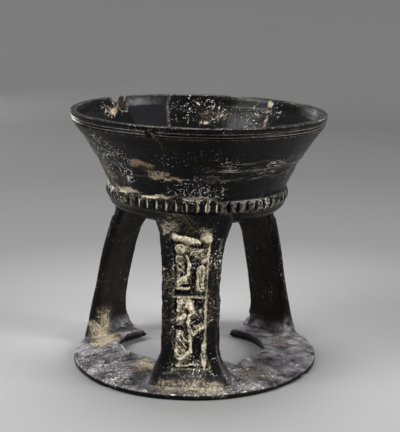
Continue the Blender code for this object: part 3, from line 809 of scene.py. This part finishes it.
# Places of soil, wear and tint, in millimetres from the middle of the ground under the object:
# centre, radii and strength
soilSpots = (
    ("left part of the ledge over the ridge", (-39, -36, 112.2), (15, 15, 2.8), 0.92),
    ("left end of the ledge", (-53, -9, 114.0), (5, 14, 5.0), 0.80),
    ("middle of the ledge", (-20, -49, 110.6), (15, 8, 2.2), 0.84),
    ("ledge beside the crack", (2, -53, 110.8), (14, 6, 2.2), 0.62),
    ("soil over the front leg", (-9, -49, 97), (20, 8, 8), 0.46),
    ("soil left of the panel's top", (-12, -50, 92), (9, 8, 8), 0.60),
    ("soil over the panel", (2, -50, 91.5), (14, 8, 5), 0.50),
    ("patch on the wall", (-29, -56, 130.5), (11, 9, 3.8), 0.74),
    ("patch under it", (-20, -57, 125.6), (13, 8, 3.2), 0.60),
    ("line in the sunk band", (-14, -57, 122.6), (20, 7, 1.2), 0.80),
    ("far left of the wall", (-57, -22, 129), (14, 30, 15), 0.36),
    ("lower left of the wall", (-48, -30, 118), (14, 24, 9), 0.40),
    ("left wall under the rim", (-68, -20, 144), (8, 24, 8), 0.25),
    ("foot of the left leg", (-60, 9, 8), (13, 20, 6), 0.66),
    ("left leg over its foot", (-58, 19, 15), (11, 16, 13), 0.56),
    ("outer corner of the left leg", (-68, 14, 10), (6, 9, 11), 0.66),
    ("facet of the hole's edge", (-29, -40, 8), (9, 17, 5), 0.56),
    ("frame of the front leg", (0, -54, 50), (24, 14, 48), 0.34),
    ("foot before the front leg", (-2, -67, 6), (32, 9, 5), 0.62),
    ("foot of the front leg", (0, -60, 12), (22, 8, 6), 0.42),
    ("edge of the foot in front", (4, -72, 3.5), (38, 5, 3), 0.36),
    ("foot of the right leg", (50, 12, 7), (12, 16, 5), 0.40),
    ("right of the foot", (38, -46, 5.5), (16, 14, 4), 0.36),
    ("fracture by the notch", (-54.5, 45.5, 150), (2.6, 4, 5), 0.80),
    ("stain under the flake", (-54, 41, 146.4), (7.5, 9, 3.0), 0.60),
    ("second flake", (44.6, 56, 149.6), (3, 5, 4.4), 1.0),
    ("run under the second flake", (43.0, 50.5, 139.5), (1.8, 5, 4), 0.66),
    ("spot inside", (2, 63, 136.4), (5, 5, 2.4), 0.85),
    ("spots inside", (10, 65, 141), (17, 7, 5), 0.42),
    ("rear foot of the left leg", (-44, 30, 7), (10, 10, 4), 0.36),
)
wornSpots = (
    ("inside of the bowl, middle", (-2, 66, 144), (30, 14, 14), 0.69),
    ("inside of the bowl, right", (36, 55, 143), (30, 24, 15), 0.62),
    ("inside of the bowl, left", (-58, 33, 147), (14, 20, 9), 0.55),
    ("wall over the front leg", (2, -54, 114), (24, 10, 9), 0.80),
    ("far left of the wall", (-61, -16, 130), (20, 40, 18), 1.0),
    ("left wall", (-50, -38, 130), (26, 32, 22), 0.84),
    ("left ridge and ledge", (-40, -34, 110), (26, 30, 8), 0.75),
    ("wall in front", (0, -62, 130), (40, 24, 20), 0.58),
    ("right wall", (50, -36, 126), (24, 34, 10), 0.58),
    ("right of the ridge", (40, -34, 106), (26, 30, 5), 0.50),
    ("rim", (0, 0, 152), (100, 100, 6), 0.60),
    ("front of the foot", (0, -62, 5), (100, 40, 9), 0.72),
    ("left of the foot", (-55, -22, 5), (34, 44, 8), 0.74),
    ("back of the foot", (0, 20, 5), (140, 110, 9), 0.56),
    ("front leg", (0, -52, 60), (26, 16, 60), 0.62),
    ("foot of the front leg", (0, -58, 16), (30, 16, 12), 0.84),
    ("rear legs", (0, 30, 50), (90, 50, 60), 0.40),
)
browned = (
    ("inner faces of the legs", (0, 12, 45), (105, 60, 85), 1.0),
    ("back of the front leg", (0, -46, 50), (16, 8, 40), 0.5),
    ("wall patch", (-28, -58, 130.5), (9, 6, 3), 0.7),
)
ochred = (
    ("wall patch", (-29, -56, 130), (8, 8, 3), 1.0),
    ("line in the sunk band", (-16, -57, 122.6), (16, 5, 1.5), 1.0),
    ("stain under the flake", (-54, 41, 146.4), (8, 9, 4), 0.4),
    ("foot of the left leg", (-60, 10, 10), (12, 16, 8), 0.3),
    ("second flake", (44, 54, 146), (4, 8, 8), 0.5),
    ("head of the relief", (-7, -54, 79), (4, 5, 4), 0.9),
    ("hollow edge of the foot", (-23.5, -38, 8), (9, 7, 4), 0.3),
)


def spread(points, spots):
    # Strength of the nearest spots, which have ragged outlines
    weight = np.zeros(len(points))
    strays = [noiseAt(points, 6.0, seed) + 0.6 * noiseAt(points, 2.4, seed + 9) for seed in (61, 62, 63)]
    points = points + np.stack(strays, axis=1) * np.array((2.0, 2.0, 0.9))
    for _, centre, radii, strength in spots:
        off = (((points - np.array(centre)) / np.array(radii)) ** 2).sum(axis=1)
        weight = np.maximum(weight, strength * np.clip(1.5 * (1 - off), 0, 1))
    return weight


def bendOf(mesh, points, normals):
    # Mean curvature, above 0 on edges that stick out and below 0 in hollows
    ends = np.zeros(len(mesh.edges) * 2, dtype=np.int64)
    mesh.edges.foreach_get("vertices", ends)
    start, end = ends.reshape(-1, 2).T
    run = points[end] - points[start]
    square = np.maximum((run * run).sum(axis=1), 1e-4)
    total, count = np.zeros(len(points)), np.zeros(len(points))
    for here, way in ((start, 1), (end, -1)):
        np.add.at(total, here, -way * 2 * (normals[here] * run).sum(axis=1) / square)
        np.add.at(count, here, 1)
    return total / np.maximum(count, 1)


weather = {
    "bowlFrom": 96.0,  # height over which a face turned inwards is the inside of the bowl
    "patchSize": 9.0,
    "threads": (2.6, 6.0),  # below the rim, worn light along the raised lines, with painted sheen towards the sides
    "bandEdge": 0.3,  # the lower edge line lies this far under the sunk band
    "bandSides": ((4, 64, 8, 0.60), (-70, -12, 10, 0.42)),  # degrees, softness and strength
    "underLine": 101.9,  # height of the light line under the ridge, and the degrees it runs
    "underLineRun": (-80, -22),
    "soiledAndLitNotches": (-96, 15),  # degrees from the front, left of the crack
    "dustyNotches": (-96, -30),
    "clearedTo": 4,  # degrees up to which only the right wall of a notch, which faces the key light, holds pale soil and painted highlight
    "highlitTeeth": (16, 80),  # teeth with a painted highlight, right of the crack
    "restored": (-160.5, -137.5),
    "restoredFrom": (108, 114),
    # light streaks along the throwing marks on the right wall: painted sheen
    "sheenStreaks": (10, 80),
    "streakDrops": (20, 34),
    "arch": ((-14.5, 12.6), (-8.0, 13.8), (0.0, 11.6), (3.0, 9.6)),  # at the foot of the front leg
}


def measureSkin(mesh):
    # Places in millimetres, slopes and bends of the finished surface
    count = len(mesh.vertices)
    world, normals = np.zeros(count * 3), np.zeros(count * 3)
    mesh.vertices.foreach_get("co", world)
    mesh.vertices.foreach_get("normal", normals)
    world, normals = world.reshape(-1, 3) * 1000, normals.reshape(-1, 3)
    points = world - np.array((standX * 1000, 0, 0))
    inBowl = unleaned(points, np.ones(count))
    radius, azimuth = polar(inBowl)
    inward = -(points[:, 0] * normals[:, 0] + points[:, 1] * normals[:, 1]) / np.maximum(radius, 1)
    onBowl = points[:, 2] > weather["bowlFrom"]
    inside = onBowl & (inward > 0.1)
    return {
        "world": world,
        "points": points,
        "normals": normals,
        "bend": bendOf(mesh, points, normals),
        "inBowl": inBowl,
        "radius": radius,
        "azimuth": azimuth,
        "height": inBowl[:, 2],
        "drop": bowl["rimHeight"] - inBowl[:, 2],
        "inward": inward,
        "inside": inside,
        "outside": onBowl & ~inside,
        "front": (points[:, 1] < -44) & (normals[:, 1] < 0.25) & (inward < 0.3),
        "patchy": noiseAt(points, weather["patchSize"], 40),
    }


def paintPanel(skin):
    # Share of each point on the front panel, its pale soil with painted highlight and shade, and the
    # painted shade of its hollows
    bend = skin["bend"]
    across, row = frontPlace(skin["points"])
    aside, halfPanel = panelPlace(legs["front"], across, row)
    onPanel = skin["front"] * within(row, panel["bottom"] - 0.5, panel["top"] + 0.5, 0.4)
    onPanel = onPanel * (np.abs(aside) < halfPanel + 0.6)
    _, pale = drawRelief(relief, across, row)
    hollow = np.maximum(hollowAt(across, row), crossBar(row, "groove"))
    # painted highlight on edges that stick out; painted shade in hollows and in the deep places
    pale = 0.42 + 0.46 * pale + 0.16 * rise(bend, 0.02, 0.45) - 0.34 * rise(-bend, 0.05, 0.5)
    pale = (pale + 0.16 * noiseAt(skin["points"], 3.0, 42)) * (1 - 0.85 * hollow)
    pale = pale * (1 - 0.5 * rise(-aside - halfPanel, -1.6, -0.6))
    rightWall = 1 - np.clip(np.abs(aside - halfPanel + 0.2) / 0.8, 0, 1)
    pale = np.maximum(pale, (0.75 + 0.2 * skin["patchy"]) * np.sqrt(rightWall))
    # painted highlight along the top of the ledge
    pale = np.maximum(pale, 0.7 * within(row, panel["ledge"], panel["ledge"] + 0.7, 0.25))
    # painted shade: near black in the hollows, the groove and where it is least pale
    paintedHollowShade = onPanel * np.clip(hollow + 0.5 * (1 - 1.6 * pale), 0, 1)
    return onPanel, pale, paintedHollowShade


def paintRidge(skin):
    # Notches hold pale soil from the left end to the crack, on the left only on their right walls, which
    # face the key light, as painted highlight too; the teeth beyond the crack get a painted highlight
    azimuth, height = skin["azimuth"], skin["height"]
    share, place = notchShape(azimuth, height, bowl["wallFootRadius"] + 1)
    onRidge = np.abs(height - bowl["notchHeight"]) < bowl["notchTall"] / 2
    onRidge = onRidge & (skin["radius"] > bowl["wallFootRadius"] - 1) & ~skin["inside"]
    # painted highlight with the soil: the notch's right wall, which faces the key light
    rightWall = rise(place, -0.25, 0.05)
    leaf = rise(share, 0.04, 0.2) * np.where(azimuth < weather["clearedTo"], rightWall, 1.0)
    leaf = leaf * within(azimuth, *weather["soiledAndLitNotches"], 0.5)
    soilAndPaintedLight = np.maximum(0.92 * leaf, 0.32 * within(azimuth, *weather["dustyNotches"], 6))
    # painted highlight on the teeth right of the crack, between the notches
    toothHighlight = onRidge * (1 - rise(share, 0.05, 0.3)) * within(azimuth, *weather["highlitTeeth"], 3)
    return onRidge, soilAndPaintedLight, toothHighlight


def paintLines(skin):
    # Fine light lines: worn threads under the lip, with painted sheen towards the sides of the bowl;
    # cracks, joins and the edges of the sunk band
    points, azimuth, drop = skin["points"], skin["azimuth"], skin["drop"]
    outside = skin["outside"]
    threads = np.cos(math.tau * (drop - bowl["firstLine"]) / bowl["lineGap"])
    threads = rise(threads, 0.2, 0.9) * within(drop, *weather["threads"], 0.1) * outside
    threads = threads * (1 - within(azimuth, *lostLines, 0.4))
    # painted sheen: the threads grow lighter towards the sides of the bowl
    lines = 0.9 * threads * (0.26 + 0.55 * rise(np.abs(azimuth + 5), 30, 80))
    upper, lower = bowl["sunkBand"]
    off = np.minimum(np.abs(drop - upper), np.abs(drop - lower - weather["bandEdge"]))
    shown = 0 * drop
    for start, end, soft, strength in weather["bandSides"]:
        shown += strength * within(azimuth, start, end, soft)
    shown = shown * np.clip(0.8 + 0.6 * skin["patchy"], 0, 1.4)
    lines = np.maximum(lines, np.clip(1 - off / 0.55, 0, 1) * shown * outside)
    underLine = np.clip(1 - np.abs(skin["height"] - weather["underLine"]) / 0.5, 0, 1)
    underLine = underLine * within(azimuth, *weather["underLineRun"], 5) * outside
    lines = np.maximum(lines, 0.6 * underLine)
    for crack, side, strength in (
        (bowlCracks[0], outside, 0.12 + 0.4 * rise(skin["height"], 138, 146)),
        (bowlCracks[1], outside, 0.40),
        (insideJoins[0], skin["inside"], 0.5),
    ):
        off = crackDistance(skin["inBowl"], crack, 0.35)
        lines = np.maximum(lines, strength * np.clip(1.3 - off / 0.4, 0, 1) * side)
    onFoot = (points[:, 2] < 13) & (skin["normals"][:, 2] > 0.4)
    for line in footJoins:
        off = lineDistance(points[:, 0], points[:, 1], line)
        lines = np.maximum(lines, 0.5 * np.clip(1.4 - off / 0.5, 0, 1) * onFoot)
    off = lineDistance(points[:, 0], points[:, 2], weather["arch"])
    return np.maximum(lines, 0.6 * np.clip(1.4 - off / 0.45, 0, 1) * skin["front"])


def paintMasks(mesh):
    # Soil, wear and tint, with painted highlights, sheen and shade, are kept as attributes, worked out
    # from place, slope and relief
    skin = measureSkin(mesh)
    world, points, normals = skin["world"], skin["points"], skin["normals"]
    azimuth, radius, inside, patchy = skin["azimuth"], skin["radius"], skin["inside"], skin["patchy"]
    up = points[:, 2]
    edge = rise(skin["bend"], 0.10, 0.55)
    cavity = rise(-skin["bend"], 0.10, 0.8)
    soilAndPaintedLight = spread(world, soilSpots)
    soilAndPaintedLight = np.maximum(soilAndPaintedLight + 0.12 * patchy, 0) * rise(soilAndPaintedLight, 0, 0.2)
    onPanel, pale, paintedHollowShade = paintPanel(skin)
    # on the panel and the ridge this mask also carries painted highlight and shade
    soilAndPaintedLight = np.where(onPanel > 0.5, pale, soilAndPaintedLight)
    onRidge, ridgeSoilAndHighlight, toothHighlight = paintRidge(skin)
    soilAndPaintedLight = np.where(onRidge, ridgeSoilAndHighlight, soilAndPaintedLight)
    lines = paintLines(skin)

    # Flakes of the rim: a pale broken border round a brown hollow
    legInside = np.clip(skin["inward"] * 1.5, 0, 1) * within(up, 11, weather["bowlFrom"], 2)
    brown = spread(world, browned) * np.where(up < 100, legInside, 1)
    for flake in rimFlakes:
        shape = flakeShape(skin["inBowl"], azimuth, skin["height"], flake)
        border = within(shape, 0.02, 0.26, 0.06) * inside
        lines = np.maximum(lines, 0.95 * border)
        brown = np.maximum(brown, inside * rise(shape, 0.26, 0.4))
    restored = inside * within(azimuth, *weather["restored"], 0.6)
    restored = restored * rise(up, *weather["restoredFrom"]) * (1 - np.clip(lines, 0, 1))

    # The foot and the flares of the legs are worn grey, lighter on faces turned up as a painted
    # top-light sheen, but not the foot's upright edges
    flatUp = (up < 12) * rise(normals[:, 2], 0.3, 0.75)
    greyWearAndTopSheen = flatUp * np.clip(0.82 + 0.3 * patchy, 0, 1)
    flare = (radius < 72) * (1 - rise(up, 8, 22)) * rise(normals[:, 2], -0.1, 0.5)
    greyWearAndTopSheen = np.maximum(greyWearAndTopSheen, flare * np.clip(0.6 + 0.4 * patchy, 0, 1))
    worn = np.clip(spread(world, wornSpots) + 0.15 + 0.16 * patchy, 0, 1)
    # the ridge's teeth with their painted highlight also get white marks
    worn = np.maximum(worn + 0.2 * edge, 0.5 * toothHighlight)
    upright = (up < 9) * (1 - rise(normals[:, 2], 0.15, 0.45)) * (radius > 20)
    worn = worn * (1 - 0.85 * restored) * (1 - 0.6 * upright)
    soilAndPaintedLight = soilAndPaintedLight * (1 - restored) + 0.22 * cavity * (up < 101)
    # painted sheen: light streaks along the throwing marks
    sheenStreaks = np.clip(noiseAt(points * np.array((0.25, 0.25, 2.4)), 3.0, 41), 0, 1)
    sheenStreaks = sheenStreaks * within(azimuth, *weather["sheenStreaks"], 10)
    masks = {
        "soilAndPaintedLight": soilAndPaintedLight,
        "ochre": spread(world, ochred),
        "worn": worn,
        # worn edges that stick out, and the painted highlight of the ridge's teeth
        "edgeWearAndHighlight": np.clip(edge * (0.6 + 0.5 * patchy) * (up > 6) * (1 - onPanel) + toothHighlight, 0, 1),
        "lines": lines,
        "paintedHollowShade": paintedHollowShade,
        "greyWearAndTopSheen": greyWearAndTopSheen,
        "brown": brown,
        "restored": restored,
        "sheenStreaks": sheenStreaks * skin["outside"] * within(skin["drop"], *weather["streakDrops"], 2),
    }
    for name, values in masks.items():
        layer = mesh.attributes.new(name, "FLOAT", "POINT")
        layer.data.foreach_set("value", np.clip(values, 0, 1).astype(np.float32))


def hexColour(code):
    parts = [int(code[i:i + 2], 16) / 255 for i in (1, 3, 5)]
    linear = [part / 12.92 if part <= 0.04045 else ((part + 0.055) / 1.055) ** 2.4 for part in parts]
    return linear + [1.0]


def addNode(tree, kind, settings=(), links=()):
    node = tree.nodes.new(kind)
    for name, value in dict(settings).items():
        if isinstance(name, str) and hasattr(node, name):
            setattr(node, name, value)
        else:
            node.inputs[name].default_value = value
    for name, source in dict(links).items():
        tree.links.new(source, node.inputs[name])
    return node


# Bucchero: clay blackened by smoke in the kiln and burnished before firing, so it is black right
# through with a waxy sheen; burial left pale lime and soil in its hollows and scratches
finish = {
    "black": "#0b0b0c",
    "blackLight": "#171617",
    # worn grey of the foot's top, made light as a painted top-light sheen
    "footGreyAndSheen": "#9b989b",
    "footGreyDark": "#3d3b3f",
    "brown": "#2c2119",
    "restored": "#232326",
    # painted shade in the front panel's hollows and groove
    "hollowShadeBlack": "#070708",
    # colour of worn edges and of the painted highlight on the ridge's teeth
    "edge": "#77736c",
    # fine light lines, on the threads partly painted sheen
    "line": "#a09a90",
    "dust": "#6e6556",
    "soilPale": "#e1d9c4",
    "soilOlive": "#5a503f",
    "soilOchre": "#a08566",
    "scratch": "#a29f99",
    "deepScratch": "#dedbd3",
    "ior": 1.4,
    "reflection": 0.36,
    "burnishRoughness": 0.32,
    "soilRoughness": 0.85,
    "cloudSize": 16.0,  # millimetres
    "mottleSize": 7.0,
    "edgeSize": 1.8,
    "scratchSize": 7.5,
    "smallScratchSize": 3.8,
    "streakSize": 0.9,
    "speckSize": 0.9,
    "grainSize": 1.5,
    "burnishLine": 0.8,
    "pitSize": 0.5,
}


def buccheroMaterial():
    material = bpy.data.materials.new("bucchero burnished clay")
    material.use_nodes = True
    tree = material.node_tree
    shader = tree.nodes["Principled BSDF"]
    place = addNode(tree, "ShaderNodeTexCoord").outputs["Object"]

    def scaled(vector, factor):
        settings = {"operation": "SCALE", "Scale": factor}
        return addNode(tree, "ShaderNodeVectorMath", settings, {0: vector}).outputs[0]

    mm = scaled(place, 1000.0)

    def pattern(size, detail=3.0, rough=0.55, where=mm):
        settings = {"Scale": 1 / size, "Detail": detail, "Roughness": rough}
        return addNode(tree, "ShaderNodeTexNoise", settings, {"Vector": where}).outputs["Fac"]

    def reckon(operation, a, b, clamp=False):
        node = addNode(tree, "ShaderNodeMath", {"operation": operation, "use_clamp": clamp})
        for i, value in enumerate((a, b)):
            if isinstance(value, (int, float)):
                node.inputs[i].default_value = value
            else:
                tree.links.new(value, node.inputs[i])
        return node.outputs[0]

    def times(a, b, clamp=False):
        return reckon("MULTIPLY", a, b, clamp)

    def plus(a, b):
        return reckon("ADD", a, b)

    def larger(a, b, clamp=False):
        return reckon("MAXIMUM", a, b, clamp)

    def ranged(value, low, high):
        settings = {"From Min": low, "From Max": high}
        return addNode(tree, "ShaderNodeMapRange", settings, {"Value": value}).outputs[0]

    def mask(name):
        return addNode(tree, "ShaderNodeAttribute", {"attribute_name": name}).outputs["Fac"]

    def blended(share, a, b):
        node = addNode(tree, "ShaderNodeMix", {"data_type": "RGBA"})
        tree.links.new(share, node.inputs["Factor"])
        for socket, value in ((node.inputs[6], a), (node.inputs[7], b)):
            if isinstance(value, str):
                socket.default_value = hexColour(value)
            else:
                tree.links.new(value, socket)
        return node.outputs[2]

    def warped(size, reach):
        settings = {"Scale": 1 / size, "Detail": 2.0}
        bent = addNode(tree, "ShaderNodeTexNoise", settings, {"Vector": mm}).outputs["Color"]
        links = {0: mm, 1: scaled(bent, reach)}
        return addNode(tree, "ShaderNodeVectorMath", {"operation": "ADD"}, links).outputs[0]

    def drawnOut(share):
        # Places drawn out sideways, for strokes that run round the bowl
        settings = {"Scale": (share, share, 1.0)}
        return addNode(tree, "ShaderNodeMapping", settings, {"Vector": mm}).outputs[0]

    def scratches(size, width, warp, breaks):
        # Lines along the edges of cells, shown in the places where breaks is high
        settings = {"feature": "DISTANCE_TO_EDGE", "Scale": 1 / size}
        cells = addNode(tree, "ShaderNodeTexVoronoi", settings, {"Vector": warp}).outputs["Distance"]
        thin = reckon("SUBTRACT", 1.0, ranged(cells, width * 0.4, width))
        return times(thin, breaks)

    # Body colour: cloudy black, greyer on the foot with a painted top-light sheen, browner on the legs'
    # inner faces
    clouds = ranged(pattern(finish["cloudSize"], 5.0), 0.35, 0.7)
    colour = blended(clouds, finish["black"], finish["blackLight"])
    mottled = ranged(pattern(finish["mottleSize"], 7.0, 0.72), 0.38, 0.62)
    greyed = blended(mottled, finish["footGreyDark"], finish["footGreyAndSheen"])
    colour = blended(mask("greyWearAndTopSheen"), colour, greyed)
    tanned = times(mask("brown"), ranged(pattern(finish["mottleSize"], 5.0), 0.25, 0.65))
    colour = blended(tanned, colour, finish["brown"])
    colour = blended(mask("restored"), colour, finish["restored"])
    # painted shade in the front panel's hollows and groove
    colour = blended(mask("paintedHollowShade"), colour, finish["hollowShadeBlack"])
    # worn edges, and the painted highlight on the ridge's teeth
    edges = times(mask("edgeWearAndHighlight"), ranged(pattern(finish["edgeSize"], 3.0, 0.6), 0.40, 0.60), True)
    colour = blended(edges, colour, finish["edge"])

    # White scratches along the edges of broken cells, and specks, more of them where it is worn
    worn = mask("worn")
    wear = times(worn, 0.32)
    patches = ranged(plus(pattern(3.4, 3.0, 0.6), wear), 0.82, 0.90)
    marks = scratches(finish["scratchSize"], 0.045, warped(7.0, 4.0), patches)
    small = ranged(plus(pattern(2.0, 2.0, 0.6), wear), 0.85, 0.93)
    small = scratches(finish["smallScratchSize"], 0.07, warped(4.0, 1.6), small)
    marks = larger(marks, small)
    specks = plus(pattern(finish["speckSize"], 1.0, 0.5), times(worn, 0.17))
    specks = plus(specks, times(pattern(finish["mottleSize"], 2.0), 0.35))
    marks = larger(marks, ranged(specks, 0.98, 1.07))
    marks = times(marks, ranged(worn, 0.0, 0.35), True)
    # painted sheen: light streaks along the throwing marks on the right wall
    turned = ranged(pattern(finish["streakSize"], 2.0, 0.6, drawnOut(0.12)), 0.52, 0.66)
    marks = larger(marks, times(turned, mask("sheenStreaks")), True)
    tone = blended(ranged(worn, 0.60, 0.95), finish["scratch"], finish["deepScratch"])
    colour = blended(marks, colour, tone)
    lines = times(mask("lines"), ranged(pattern(1.6, 2.0, 0.6), 0.30, 0.62), True)
    colour = blended(lines, colour, finish["line"])

    # Soil, which on the panel and the ridge also carries painted highlight and shade, breaks up into
    # grains where there is less of it, and is darkest where it is thin
    dust = times(ranged(mask("soilAndPaintedLight"), 0.1, 1.1), ranged(pattern(3.0, 4.0, 0.6), 0.30, 0.65))
    colour = blended(times(dust, 0.6), colour, finish["dust"])
    fine = times(pattern(finish["grainSize"], 1.5, 0.5), 0.75)
    coarse = times(pattern(3 * finish["grainSize"], 2.0, 0.5), 0.35)
    soilAndPaintedLight = ranged(plus(times(mask("soilAndPaintedLight"), 0.62), plus(fine, coarse)), 0.76, 0.96)
    soilAndPaintedLight = times(soilAndPaintedLight, ranged(mask("soilAndPaintedLight"), 0.03, 0.16), True)
    light = plus(times(pattern(1.3, 3.0, 0.6), 1.2), times(mask("soilAndPaintedLight"), 0.85))
    shade = blended(ranged(light, 0.92, 1.56), finish["soilOlive"], finish["soilPale"])
    stained = times(mask("ochre"), ranged(pattern(3.2, 3.0), 0.40, 0.60))
    shade = blended(stained, shade, finish["soilOchre"])
    colour = blended(soilAndPaintedLight, colour, shade)
    tree.links.new(colour, shader.inputs["Base Color"])

    # Waxy where burnished, dull where soiled, brown or worn grey
    dull = soilAndPaintedLight
    for name, share in (("greyWearAndTopSheen", 0.45), ("brown", 0.5), ("paintedHollowShade", 0.6)):
        dull = larger(dull, times(mask(name), share), True)
    rough = plus(times(pattern(6.0, 4.0), 0.22), finish["burnishRoughness"] - 0.11)
    settings = {"data_type": "FLOAT", 3: finish["soilRoughness"]}
    rough = addNode(tree, "ShaderNodeMix", settings, {0: dull, 2: rough})
    tree.links.new(rough.outputs[0], shader.inputs["Roughness"])
    shader.inputs["IOR"].default_value = finish["ior"]
    shader.inputs["Specular IOR Level"].default_value = finish["reflection"]

    # Burnishing strokes run round the bowl, with fine pits and raised crusts of soil
    height = times(pattern(finish["burnishLine"], 2.0, 0.5, drawnOut(0.05)), 0.05)
    height = plus(height, times(pattern(finish["pitSize"], 2.0, 0.5), 0.06))
    height = plus(height, times(pattern(2.8, 4.0, 0.6), 0.12))
    height = plus(height, times(soilAndPaintedLight, 0.14))
    height = reckon("SUBTRACT", height, times(marks, 0.05))
    bump = addNode(tree, "ShaderNodeBump", {"Strength": 1.0, "Distance": 0.001}, {"Height": height})
    tree.links.new(bump.outputs[0], shader.inputs["Normal"])
    return material


standX = cadLow.x + foot["radius"] / 1000  # the foot's middle, from the solid's left side


def makeChalice():
    bm = joinParts()
    softenCorners(bm)
    roughen(bm)
    bmesh.ops.scale(bm, vec=(0.001, 0.001, 0.001), verts=bm.verts)
    bmesh.ops.translate(bm, vec=(standX, 0, 0), verts=bm.verts)
    chalice = makeObject(clay["name"], bm)
    triangles = sum(len(face.vertices) - 2 for face in chalice.data.polygons)
    print("triangles before thinning:", triangles)
    if triangles > clay["mostTriangles"]:
        thin = chalice.modifiers.new("thin", "DECIMATE")
        thin.ratio = clay["mostTriangles"] / triangles
        thinned = chalice.evaluated_get(bpy.context.evaluated_depsgraph_get())
        mesh = bpy.data.meshes.new_from_object(thinned)
        chalice.modifiers.clear()
        chalice.data = mesh
        mesh.name = clay["name"]
    paintMasks(chalice.data)
    chalice.data.shade_smooth()
    chalice.data.set_sharp_from_angle(angle=math.radians(clay["sharpTurn"]))
    chalice.data.materials.clear()
    chalice.data.materials.append(buccheroMaterial())
    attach(chalice, "root")
    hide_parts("chalice")
    print("chalice made:", len(chalice.data.polygons), "faces")


# Studio: a grey floor that sweeps up into the backdrop all round, lit by four soft lights, its grey
# painted lighter and darker with distance as painted shading
studio = {
    "radius": 2.2,
    "sweep": 0.7,
    "height": 2.6,
    "paintedShading": (  # distance from the chalice in metres and tone: painted light near the chalice, painted shade further out, lighter again up the backdrop
        (0.10, "#9a9a9a"),
        (0.30, "#7d7d7d"),
        (0.60, "#757575"),
        (1.00, "#787878"),
        (1.50, "#979797"),
        (2.00, "#999999"),
        (2.60, "#a4a4a4"),
    ),
    "ambient": 0.10,
    "contrast": 0.80,  # gamma of the print
    "exposure": 0.2,
}
lights = (  # name, place, size, watts; each looks at the chalice
    ("keyLight", (-1.0, -0.5, 1.15), 0.8, 20.0),
    ("fillLight", (1.1, -0.4, 0.5), 0.55, 14.0),
    ("topLight", (0.0, 0.35, 1.6), 0.9, 20.0),
    ("rimLight", (-0.8, 1.1, 0.26), 0.4, 2.5),
)
view = {
    "distance": 646.0,  # millimetres, level, from the foot's middle
    "height": 238.88,
    "azimuth": 2.4,
    "pitch": 13.09,
    "focal": 1095.5,  # in pixels of the 400 by 432 picture
    "tall": 432,
    "aside": 5.8,  # pixels from the foot's middle to the picture's middle
}


def backdropMaterial():
    material = bpy.data.materials.new("studio backdrop with painted shading")
    material.use_nodes = True
    tree = material.node_tree
    shader = tree.nodes["Principled BSDF"]
    place = addNode(tree, "ShaderNodeTexCoord").outputs["Object"]
    reach = addNode(tree, "ShaderNodeVectorMath", {"operation": "LENGTH"}, {0: place}).outputs["Value"]
    farthest = studio["paintedShading"][-1][0]
    share = addNode(tree, "ShaderNodeMapRange", {"From Max": farthest}, {"Value": reach})
    ramp = addNode(tree, "ShaderNodeValToRGB", {}, {0: share.outputs[0]})
    stops = ramp.color_ramp.elements
    for i, (distance, tone) in enumerate(studio["paintedShading"]):
        stop = stops[i] if i < 1 else stops.new(distance / farthest)
        stop.position = distance / farthest
        stop.color = hexColour(tone)
    stops.remove(stops[len(stops) - 1])
    tree.links.new(ramp.outputs[0], shader.inputs["Base Color"])
    shader.inputs["Roughness"].default_value = 0.9
    shader.inputs["Specular IOR Level"].default_value = 0.2
    return material


def makeStudio():
    outline = [(0.0, 0.0), (0.5, 0.0), (1.0, 0.0), (studio["radius"] - studio["sweep"], 0.0)]
    for turn in np.radians(np.arange(10, 91, 10)):
        side = studio["radius"] - studio["sweep"] * (1 - math.sin(turn))
        outline.append((side, studio["sweep"] * (1 - math.cos(turn))))
    outline.append((studio["radius"], studio["height"]))
    sweep = makeSpun("studioSweep", outline, False, 96, None)
    sweep.data.shade_smooth()
    sweep.data.materials.append(backdropMaterial())
    target = Vector((standX, 0, (cadHigh.z + cadLow.z) / 2))
    for name, place, size, watts in lights:
        data = bpy.data.lights.new(name, "AREA")
        data.shape = "DISK"
        data.size = size
        data.energy = watts
        lamp = bpy.data.objects.new(name, data)
        lamp.location = place
        lamp.rotation_euler = (target - lamp.location).to_track_quat("-Z", "Y").to_euler()
        bpy.context.collection.objects.link(lamp)
    world = bpy.data.worlds.new("studioAir")
    world.use_nodes = True
    ambient = studio["ambient"]
    world.node_tree.nodes["Background"].inputs[0].default_value = (ambient, ambient, ambient, 1)
    bpy.context.scene.world = world
    settings = bpy.context.scene.view_settings
    settings.view_transform = "Standard"
    settings.gamma = studio["contrast"]
    settings.exposure = studio["exposure"]
    print("studio made:", len(lights), "lights")


def makeCamera():
    data = bpy.data.cameras.new("photoCamera")
    data.sensor_width = 36.0
    data.lens = view["focal"] * data.sensor_width / view["tall"]
    camera = bpy.data.objects.new("photoCamera", data)
    turn = math.radians(view["azimuth"])
    side, back = view["distance"] * math.sin(turn), view["distance"] * math.cos(turn)
    camera.location = (standX + side / 1000, -back / 1000, view["height"] / 1000)
    yaw = turn - math.atan(view["aside"] / view["focal"])
    camera.rotation_euler = (math.radians(90 - view["pitch"]), 0, yaw)
    bpy.context.collection.objects.link(camera)
    bpy.context.scene.camera = camera
    print("camera placed")


makeChalice()
makeStudio()
makeCamera()
